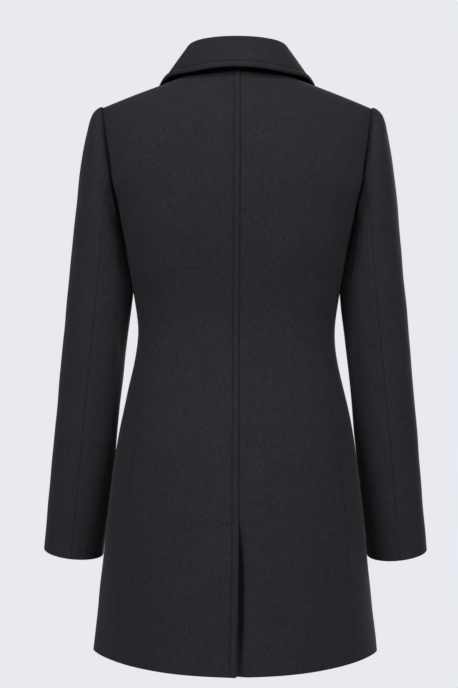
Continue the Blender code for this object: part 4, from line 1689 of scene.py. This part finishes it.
COLLAR_STATIONS = (
    CollarStation(0.00, 0.0000, -0.0690, 0.0428, 0.0000, -0.0938, -0.0018),
    CollarStation(0.125, 0.0225, -0.0652, 0.0429, 0.0330, -0.0878, -0.0028),
    CollarStation(0.25, 0.0430, -0.0530, 0.0428, 0.0640, -0.0664, -0.0045),
    CollarStation(0.50, 0.0665, -0.0060, 0.0405, 0.1008, -0.0070, -0.0048),
    CollarStation(0.75, 0.0650, 0.0310, 0.0150, 0.1180, 0.0400, -0.0320),
    CollarStation(1.00, 0.0610, 0.0650, -0.0300, 0.123, 0.0660, -0.062),
)


@dataclass
class Collar(ClothGroup):
    """The upper collar, which shows, and the under collar against the neck."""

    form: BodyForm
    fold_radius: float = 0.0040
    lift: float = 0.0006
    fall_belly: float = 0.0004
    clear: float = COLLAR_WALL + SEAM_GAP + 0.0008
    turning: tuple = (0.0022, 0.0080)
    turning_end: float = 0.72
    turning_fade: float = 0.2
    under_trim: float = 0.0022
    turning_steps: int = 6
    stand_steps: int = 12
    fold_steps: int = 15
    fold_turns: tuple = (math.radians(180), math.radians(20))
    fall_steps: int = 70
    row_steps: tuple = (0.0012, 0.014)
    columns: int = 40
    grooves: tuple = (Groove(Border.LAST_COLUMN, half_width=0.0015, swell=0.0017),)
    upper_cut: Cut = Cut(0.125, 0.480, 0.042)
    under_cut: Cut = Cut(0.120, 0.460, 0.040)
    pieces: dict = field(default_factory=dict)

    def curve(self, along: Points, name: str) -> Points:
        """A column of the collar's table along the neck seam, smooth through the centre back.

        Args:
            along: Places along the neck seam.
            name: The column.

        Returns:
            The column's values.
        """
        knots = column(COLLAR_STATIONS, "along")
        values = column(COLLAR_STATIONS, name)
        odd = -1 if name.endswith("_x") else 1
        knots = np.concatenate([-knots[:0:-1], knots])
        values = np.concatenate([odd * values[:0:-1], values])
        return spline(knots, values, along)

    def seam(self, along: Points) -> Points:
        """Points of the neck seam, from the centre back (0) past the shoulder (0.5) to the gorge (1).

        Args:
            along: Places along the neck seam.

        Returns:
            The points.
        """
        back = self.form.back_neck(np.minimum(along * 2, 1))
        front = self.form.front_neck(np.maximum(along * 2 - 1, 0))
        spots = np.where(along[:, None] <= 0.5, back, front)
        return self.form.point(spots[:, 0], spots[:, 1])

    def middle(self) -> Points:
        """The middle surface: a row for each place along the neck, from its seam to the outer edge.

        Returns:
            The grid of points.
        """
        spread = 1 - graded(2.0, *self.row_steps)
        along = np.append(0.0, np.sort(spread[spread > TINY]))
        base = self.seam(along) + [0, 0, self.lift]
        fold = np.stack([self.curve(along, "fold_" + axis) for axis in "xyz"], axis=-1)
        edge = np.stack([self.curve(along, "edge_" + axis) for axis in "xyz"], axis=-1)
        away = edge - fold
        away[:, 2] = 0
        away = unit(away)
        up = np.array([0.0, 0.0, 1.0])
        turns = np.linspace(*self.fold_turns, self.fold_steps)[:, None]
        inward, down = self.turning
        kept = ease((self.turning_end - along) / self.turning_fade)
        rows = []
        for b, f, e, out, keep in zip(base, fold, edge, away, kept):
            arc = f - up * self.fold_radius + self.fold_radius * (np.cos(turns) * out + np.sin(turns) * up)
            inside = b - keep * (out * inward + up * down)
            turned = inside + (b - inside) * np.linspace(0, 1, self.turning_steps + 1)[:-1, None]
            stand = b + (arc[0] - b) * np.linspace(0, 1, self.stand_steps)[:-1, None]
            shares = np.linspace(0, 1, self.fall_steps)[1:, None]
            fall = arc[-1] + (e - arc[-1]) * shares
            fall = fall + self.fall_belly * np.sin(math.pi * shares) * (out + up)
            rows.append(np.concatenate([turned, stand, arc, fall]))
        half = np.array(rows)
        fall_start = half.shape[1] - self.fall_steps + 1
        normals, steep = self.form.outward(half[:, fall_start:])
        gap = self.form.skin(half[:, fall_start:]) / steep
        half[:, fall_start:] += normals * np.maximum(self.clear - gap, 0)[..., None]
        return np.concatenate([half[:0:-1] * [-1, 1, 1], half])

    def build(self) -> None:
        """Works out both layers."""
        dense = self.middle()
        normals = grid_normals(dense)
        if normals[len(dense) // 2, -1, 1] > 0:
            normals = -normals
        edges = dict.fromkeys(Border, Edge.FOLD)
        edges[Border.FIRST_COLUMN] = Edge.SEAM
        trimmed = tuple(self.under_trim + far for far in FOLD_COLUMNS)
        layers = (
            ("upper_collar", 0, HALF_GAP + COLLAR_WALL, STITCHED_COLUMNS, self.upper_cut, self.grooves),
            ("under_collar", self.turning_steps, -HALF_GAP, trimmed, self.under_cut, ()),
        )
        for name, first, lift, last, cut, grooves in layers:
            plan = ColumnPlan(SEAM_COLUMNS, last, self.columns)
            points, outs = plan.spread((dense + normals * lift)[:, first:], normals[:, first:])
            rest = {"cut": cut, "wall": COLLAR_WALL, "grooves": grooves}
            self.keep(ClothPiece(f"{name}_cloth", name, points, unit(outs), edges, **rest))


# Sleeves


@dataclass
class Sleeves(ClothGroup):
    """The top and under sleeve of each arm."""

    form: SleeveForm
    drape: Drape
    row_fine: float = 0.00025
    row_coarse: float = 0.0045
    sink: float = 0.0105
    sink_reach: float = 0.0080
    sink_start: tuple = (math.radians(28), math.radians(105))
    sink_end: tuple = (math.radians(150), math.radians(178))
    turning: tuple = (0.0060, 0.0045, 0.0031, 0.0020, 0.0012, 0.0006)
    turning_gap: float = 0.0026
    turning_reach: float = 0.0020
    loop_steps: int = 60
    top_columns: int = 42
    under_columns: int = 30
    top_cut: Cut = Cut(0.215, 0.630, 0.112)
    under_cut: Cut = Cut(0.150, 0.480, 0.066)
    pieces: dict = field(default_factory=dict)

    def behind(self, starts: Points) -> Points:
        """How much of the sleeve's sink a turn of the armhole has.

        Args:
            starts: Turns of the armhole.

        Returns:
            1 behind the arm, 0 before it, and between them at the shoulder and under the arm.
        """
        turns = np.mod(starts, FULL_TURN)
        (rise_from, rise_to), (fall_from, fall_to) = self.sink_start, self.sink_end
        rising = ease((turns - rise_from) / (rise_to - rise_from))
        return rising * ease((fall_to - turns) / (fall_to - fall_from))

    def outward(self, grid: Points) -> Points:
        """Directions out of the arm at the points of a sleeve's grid.

        Args:
            grid: The sleeve's points.

        Returns:
            The directions.
        """
        normals = grid_normals(grid)
        centre = grid[-1].mean(axis=0)
        return normals if np.sum(normals[-1] * (grid[-1] - centre)) > 0 else -normals

    def set_in(self, grid: Points, starts: Points) -> Points:
        """A sleeve's grid drawn in under the panels at the armhole, with its turning inside them added.

        Args:
            grid: The sleeve's points.
            starts: Turns of the armhole, one for each column.

        Returns:
            The grid.
        """
        body = self.form.body
        seam, normals = body.surface(body.armhole(np.mod(starts, FULL_TURN)))
        away = unit(np.cross(normals, np.gradient(seam, axis=0)))
        loop = body.armhole(np.linspace(0, FULL_TURN, self.loop_steps))
        centre = body.point(loop[:, 0], loop[:, 1]).mean(axis=0)
        away = away if np.sum(away * (seam - centre)) > 0 else -away
        under = normals * (WALL + self.turning_gap)
        grid = grid - under * (1 - ease(run_lengths(grid, 0) / self.turning_reach))[..., None]
        return np.concatenate([[seam + away * far - under for far in self.turning], grid])

    def piece(self, name: str, side: Side, low: float, high: float, middle: int, cut: Cut) -> ClothPiece:
        """A sleeve piece between two turns of the armhole.

        Args:
            name: Which piece it is.
            side: Whose arm.
            low: First turn.
            high: Last turn.
            middle: Columns between those at its seams.
            cut: The flat size it is cut to.

        Returns:
            The piece.
        """
        starts = np.linspace(low, high, DENSE_COLUMNS)
        dense = self.form.tube(starts, self.row_fine, self.row_coarse)
        far = run_lengths(dense, 0)
        dense[..., 1] += self.sink * self.behind(starts) * np.exp(-((far / self.sink_reach) ** 2))
        dense = self.set_in(dense, starts)
        plan = ColumnPlan(SEAM_COLUMNS, SEAM_COLUMNS, middle)
        edges = {**dict.fromkeys(Border, Edge.PRESSED), Border.LAST_ROW: Edge.FOLD}
        surface = (dense, self.outward(dense))
        return sided_piece(name, side, plan, surface, edges=edges, cut=cut, drape=self.drape)

    def build(self) -> None:
        """Works out all four pieces."""
        back, front = self.form.back_start, self.form.front_start
        for side in Side:
            start = front - FULL_TURN
            self.keep(self.piece("top_sleeve", side, start, back, self.top_columns, self.top_cut))
            self.keep(self.piece("under_sleeve", side, back, front, self.under_columns, self.under_cut))


# Stitching and buttons


class Modeller:
    """Short ways to model a small piece with Blender's own tools."""

    @staticmethod
    def pick_faces(made: bpy.types.Object, wanted: Callable[[bpy.types.MeshPolygon], bool]) -> None:
        """Selects only the faces that a test picks, ready for edit mode.

        Args:
            made: The object.
            wanted: The test.
        """
        bpy.ops.object.mode_set(mode="EDIT")
        bpy.ops.mesh.select_mode(type="FACE")
        bpy.ops.mesh.select_all(action="DESELECT")
        bpy.ops.object.mode_set(mode="OBJECT")
        for face in made.data.polygons:
            face.select = bool(wanted(face))

    @staticmethod
    def settle(made: bpy.types.Object) -> None:
        """Puts the object's place, turn and scale into its mesh.

        Args:
            made: The object.
        """
        bpy.ops.object.select_all(action="DESELECT")
        made.select_set(True)
        bpy.context.view_layer.objects.active = made
        bpy.ops.object.transform_apply(location=True, rotation=True, scale=True)

    @staticmethod
    def taken(made: bpy.types.Object) -> tuple:
        """The points and faces of an object, which is then removed.

        Args:
            made: The object.

        Returns:
            The points and the faces.
        """
        points = np.array([vertex.co for vertex in made.data.vertices])
        faces = [tuple(face.vertices) for face in made.data.polygons]
        data = made.data
        bpy.data.objects.remove(made)
        bpy.data.meshes.remove(data)
        return points, faces

    @staticmethod
    def joined(name: str, pattern: tuple, frames: list) -> bpy.types.Object:
        """One object of many copies of a pattern.

        Args:
            name: The object's name.
            pattern: Points and faces of one copy.
            frames: A middle and three axes, as rows, for each copy.

        Returns:
            The object.
        """
        points, faces = pattern
        copies = [points @ axes + middle for middle, axes in frames]
        count = len(points)
        numbers = [tuple(v + i * count for v in face) for i in range(len(frames)) for face in faces]
        data = bpy.data.meshes.new(name)
        data.from_pydata(np.concatenate(copies).tolist(), [], numbers)
        data.shade_smooth()
        data.set_sharp_from_angle(angle=SMALL_SHARP_ANGLE)
        made = bpy.data.objects.new(name, data)
        bpy.context.scene.collection.objects.link(made)
        return made


def read_along(lengths: Points, values: Points, at: Points) -> Points:
    """Points or directions at lengths along a line."""
    return np.stack([np.interp(at, lengths, values[:, k]) for k in range(3)], axis=-1)


def frame_along(line: Points, normals: Points, at: Points) -> list:
    """Middles and axes along a line: X along it, Z out of the cloth.

    Args:
        line: Points of the line.
        normals: Directions out of the cloth at them.
        at: Lengths along the line.

    Returns:
        A middle and three axes, as rows, for each length.
    """
    lengths = np.concatenate([[0], np.cumsum(np.linalg.norm(np.diff(line, axis=0), axis=1))])
    ways = unit(read_along(lengths, line, at + WAY_STEP) - read_along(lengths, line, at - WAY_STEP))
    outs = read_along(lengths, normals, at)
    outs = unit(outs - ways * np.sum(outs * ways, axis=-1, keepdims=True))
    sides = np.cross(outs, ways)
    middles = read_along(lengths, line, at)
    return [(p, np.stack([w, s, o])) for p, w, s, o in zip(middles, ways, sides, outs)]


@dataclass
class Stitching:
    """Rows of even stitches along the grooves of the cloth pieces."""

    pitch: float = 0.0036
    length: float = 0.0029
    thickness: float = 0.0008
    sunk: float = 0.0001
    pattern: tuple = ()

    def build(self) -> None:
        """Models one stitch, along X with Z out of the cloth, its ends going down into it."""
        lying = (0, math.pi / 2, 0)
        bpy.ops.mesh.primitive_uv_sphere_add(segments=8, ring_count=8, radius=0.5, rotation=lying)
        made = bpy.context.object
        Modeller.settle(made)
        made.scale = (self.length, self.thickness, self.thickness)
        Modeller.settle(made)
        self.pattern = Modeller.taken(made)

    def row(self, name: str, line: Points, normals: Points, finish: bpy.types.Material) -> None:
        """Sews one row.

        Args:
            name: The row's name.
            line: Points along it.
            normals: Directions out of the cloth.
            finish: The thread.
        """
        total = np.linalg.norm(np.diff(line, axis=0), axis=1).sum()
        count = int(total / self.pitch)
        at = (np.arange(count) + 0.5) * total / count
        frames = frame_along(line, normals, at)
        frames = [(middle - axes[2] * self.sunk, axes) for middle, axes in frames]
        made = Modeller.joined(name, self.pattern, frames)
        fit(made, finish)
        LOG.info("%s: %d stitches", name, count)


@dataclass
class Buttons:
    """The three buttons of the right front, their thread and their buttonholes."""

    form: BodyForm
    drape: Drape
    stitching: Stitching
    nodes: tuple = ("button_1", "button_2", "button_3")
    rim: float = 0.0020
    slope: float = 0.0012
    dish: float = 0.0008
    round_edge: float = 0.0007
    bevel_angle: float = math.radians(25)
    face_slope: float = 0.9
    hole_radius: float = 0.0011
    hole_reach: float = 0.0021
    shank_radius: float = 0.0018
    strand: float = 0.0009
    strand_rise: float = 0.3
    shank_length: float = 0.6
    shank_drop: float = 0.1
    least_thickness: float = 0.002
    slit: tuple = (-0.003, 0.0225)
    slit_half_width: float = 0.0013
    slit_pitch: float = 0.0008
    slit_steps: int = 24
    pattern: tuple = ()
    strands: tuple = ()

    def button(self, radius: float, thick: float) -> tuple:
        """Models one button, its face towards Z.

        Args:
            radius: The button's radius.
            thick: Its thickness.

        Returns:
            Its points and faces.
        """
        bpy.ops.mesh.primitive_cylinder_add(vertices=64, radius=radius, depth=thick)
        made = bpy.context.object
        Modeller.pick_faces(made, lambda face: face.normal.z > self.face_slope)
        bpy.ops.object.mode_set(mode="EDIT")
        bpy.ops.mesh.inset(thickness=self.rim, depth=0)
        bpy.ops.mesh.inset(thickness=self.slope, depth=-self.dish)
        bpy.ops.object.mode_set(mode="OBJECT")
        bevel = made.modifiers.new("round", "BEVEL")
        bevel.width = self.round_edge
        bevel.segments = 3
        bevel.limit_method = "ANGLE"
        bevel.angle_limit = self.bevel_angle
        bpy.ops.object.modifier_apply(modifier=bevel.name)
        for turn in range(4):
            angle = math.radians(45 + 90 * turn)
            spot = (self.hole_reach * math.cos(angle), self.hole_reach * math.sin(angle), 0)
            bpy.ops.mesh.primitive_cylinder_add(
                vertices=20, radius=self.hole_radius, depth=thick * 3, location=spot
            )
            drill = bpy.context.object
            Modeller.settle(drill)
            bpy.context.view_layer.objects.active = made
            cut = made.modifiers.new("hole", "BOOLEAN")
            cut.operation = "DIFFERENCE"
            cut.object = drill
            bpy.ops.object.modifier_apply(modifier=cut.name)
            Modeller.taken(drill)
        return Modeller.taken(made)

    def thread(self, thick: float) -> tuple:
        """Models the thread of one button: a cross over its face and a shank under it.

        Args:
            thick: The button's thickness.

        Returns:
            Its points and faces.
        """
        face = thick / 2 - self.dish
        pieces = []
        for angle in (45, 135):
            bpy.ops.mesh.primitive_uv_sphere_add(
                segments=12, ring_count=10, radius=0.5, rotation=(0, math.pi / 2, math.radians(angle))
            )
            strand = bpy.context.object
            strand.scale = (self.strand, self.strand, 2 * self.hole_reach + 2 * self.strand)
            strand.location = (0, 0, face + self.strand * self.strand_rise)
            pieces.append(strand)
        deep = thick * self.shank_length
        bpy.ops.mesh.primitive_cylinder_add(vertices=20, radius=self.shank_radius, depth=deep)
        shank = bpy.context.object
        shank.location = (0, 0, -thick / 2 - thick * self.shank_drop)
        pieces.append(shank)
        for piece in pieces:
            Modeller.settle(piece)
        for piece in pieces:
            piece.select_set(True)
        bpy.ops.object.join()
        return Modeller.taken(bpy.context.object)

    def seat(self, node: str) -> tuple:
        """Where a button sits: its middle, its axes with Z out of the coat, its radius and thickness.

        Args:
            node: The button's CAD node.

        Returns:
            The middle, the axes, the radius and the thickness.
        """
        low, high = (np.array(corner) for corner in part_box(node))
        middle = (low + high) / 2
        out = self.form.outward(middle[None])[0][0]
        up = unit(np.array([0.0, 0.0, 1.0]) - out * out[2])
        radius = (high[0] - low[0]) / 2
        tilt = abs(out[2])
        thick = max((high[1] - low[1] - 2 * radius * tilt) / abs(out[1]), self.least_thickness)
        return middle, np.stack([np.cross(up, out), up, out]), radius, thick

    def hole_line(self, middle: Points) -> tuple:
        """The slit of a buttonhole beside a button's middle, and the directions out of the cloth.

        Args:
            middle: The button's middle.

        Returns:
            The points and the directions.
        """
        x = middle[0] + np.linspace(*self.slit, self.slit_steps)
        z = np.full_like(x, middle[2])
        spots = self.form.place(np.abs(x), z, False)
        signs = np.stack([np.sign(x), np.ones_like(x), np.ones_like(x)], axis=-1)
        points = self.form.point(spots[:, 0], spots[:, 1]) * signs
        normals, _ = self.form.outward(points)
        return points + normals * self.drape.lift(points)[:, None], normals

    def hole(self, name: str, middle: Points, finish: bpy.types.Material) -> None:
        """Sews a buttonhole: close stitches across each side of its slit.

        Args:
            name: The object's name.
            middle: The button's middle.
            finish: The thread's material.
        """
        line, normals = self.hole_line(middle)
        total = np.linalg.norm(np.diff(line, axis=0), axis=1).sum()
        at = np.arange(self.slit_pitch, total - self.slit_pitch, self.slit_pitch)
        frames = []
        for place, axes in frame_along(line, normals, at):
            way, side, out = axes
            for sign in (-1, 1):
                frames.append((place + side * sign * self.slit_half_width, np.stack([side, -way, out])))
        made = Modeller.joined(name, self.stitching.pattern, frames)
        fit(made, finish)
        LOG.info("%s: %d stitches", name, len(frames))

    def build(self) -> None:
        """Models one button and its thread."""
        _, _, radius, thick = self.seat(self.nodes[0])
        self.pattern = self.button(radius, thick)
        self.strands = self.thread(thick)

    def dress(self, finishes: Finishes) -> None:
        """Sets every button, its thread and its buttonhole in place.

        Args:
            finishes: The coat's materials.
        """
        for node in self.nodes:
            middle, axes, _, _ = self.seat(node)
            made = Modeller.joined(f"{node}_horn", self.pattern, [(middle, axes)])
            fit(made, finishes.horn, node)
            thread = Modeller.joined(f"{node}_thread", self.strands, [(middle, axes)])
            fit(thread, finishes.thread)
            self.hole(f"{node}_hole", middle, finishes.thread)


# Studio


@dataclass(frozen=True)
class SoftLight:
    """A large soft lamp."""

    name: str
    place: tuple
    target: tuple
    size: float
    watts: float

    def build(self) -> None:
        """Adds the lamp, turned to its target."""
        lamp = bpy.data.lights.new(self.name, "AREA")
        lamp.shape = "SQUARE"
        lamp.size = self.size
        lamp.energy = self.watts
        made = bpy.data.objects.new(self.name, lamp)
        made.location = self.place
        made.rotation_euler = (Vector(self.target) - Vector(self.place)).to_track_quat("-Z", "Y").to_euler()
        bpy.context.scene.collection.objects.link(made)


@dataclass
class Studio:
    """The camera, the soft lamps, the pale surroundings and the floor."""

    camera_place: tuple = (0.0, -2.0, -0.3716)
    lens: float = 74.75
    sensor: float = 36.0
    shift_pixels: float = -7.3
    roll: float = 0.0042
    floor_z: float = -1.40
    floor_radius: float = 1.9
    floor_colour: tuple = (0.72, 0.74, 0.78, 1.0)
    floor_roughness: float = 0.9
    air: tuple = (0.809, 0.822, 0.864, 1.0)
    ambient: float = 0.14
    lamps: tuple = (
        SoftLight("left", (-1.75, -1.8, 0.75), (0.0, 0.0, -0.30), 1.0, 30),
        SoftLight("right", (1.75, -1.8, 0.60), (0.0, 0.0, -0.30), 1.0, 25),
        SoftLight("top", (0.0, -1.5, 1.7), (0.0, 0.0, -0.10), 0.8, 18),
        SoftLight("front", (0.9, 2.4, 0.1), (0.0, 0.0, -0.35), 1.6, 40),
    )

    def surroundings(self) -> bpy.types.World:
        """Pale air behind the coat, which lights it more dimly than it looks.

        Returns:
            The world.
        """
        world = bpy.data.worlds.new("pale_air")
        world.use_nodes = True
        tree = world.node_tree
        seen = tree.nodes["Background"]
        seen.inputs["Color"].default_value = self.air
        dim = tree.nodes.new("ShaderNodeBackground")
        dim.inputs["Color"].default_value = self.air
        dim.inputs["Strength"].default_value = self.ambient
        path = tree.nodes.new("ShaderNodeLightPath")
        mix = tree.nodes.new("ShaderNodeMixShader")
        tree.links.new(path.outputs["Is Camera Ray"], mix.inputs[0])
        tree.links.new(dim.outputs[0], mix.inputs[1])
        tree.links.new(seen.outputs[0], mix.inputs[2])
        tree.links.new(mix.outputs[0], tree.nodes["World Output"].inputs["Surface"])
        return world

    def build(self) -> None:
        """Sets up the whole studio."""
        scene = bpy.context.scene
        scene.view_settings.view_transform = "Standard"
        scene.world = self.surroundings()
        camera = bpy.data.cameras.new("camera")
        camera.lens = self.lens
        camera.sensor_width = self.sensor
        camera.shift_x = self.shift_pixels / PICTURE_HEIGHT
        eye = bpy.data.objects.new("camera", camera)
        eye.location = self.camera_place
        eye.rotation_euler = (math.pi / 2, -self.roll, 0)
        scene.collection.objects.link(eye)
        scene.camera = eye
        for lamp in self.lamps:
            lamp.build()
        bpy.ops.mesh.primitive_circle_add(
            vertices=96, radius=self.floor_radius, fill_type="NGON", location=(0, 0, self.floor_z)
        )
        floor = bpy.context.object
        floor.name = "floor"
        board = NodeBoard("pale_floor")
        board.surface({"Base Color": self.floor_colour, "Roughness": self.floor_roughness})
        floor.data.materials.append(board.material)


def main() -> None:
    """Builds the coat's looks round its frame."""
    logging.basicConfig(level=logging.INFO, format="%(message)s")
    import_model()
    bpy.ops.object.select_all(action="DESELECT")
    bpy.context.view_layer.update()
    body = BodyForm()
    drape = Drape()
    finishes = Finishes()
    panels = BodyPanels(body, drape)
    stitching = Stitching()
    stitching.build()
    sleeves = Sleeves(SleeveForm(body), Drape(CREASES + SLEEVE_CREASES))
    for part in (panels, Lapels(body, panels), Collar(body), sleeves):
        part.build()
        part.dress(finishes)
        for piece in part.pieces.values():
            for line, normals in piece.lines():
                stitching.row(f"{piece.node}_stitches", line, normals, finishes.thread)
    stitching.row("vent_stay_stitches", *panels.stay_line(), finishes.thread)
    buttons = Buttons(body, drape, stitching)
    buttons.build()
    buttons.dress(finishes)
    Studio().build()


if __name__ == "__main__":
    main()
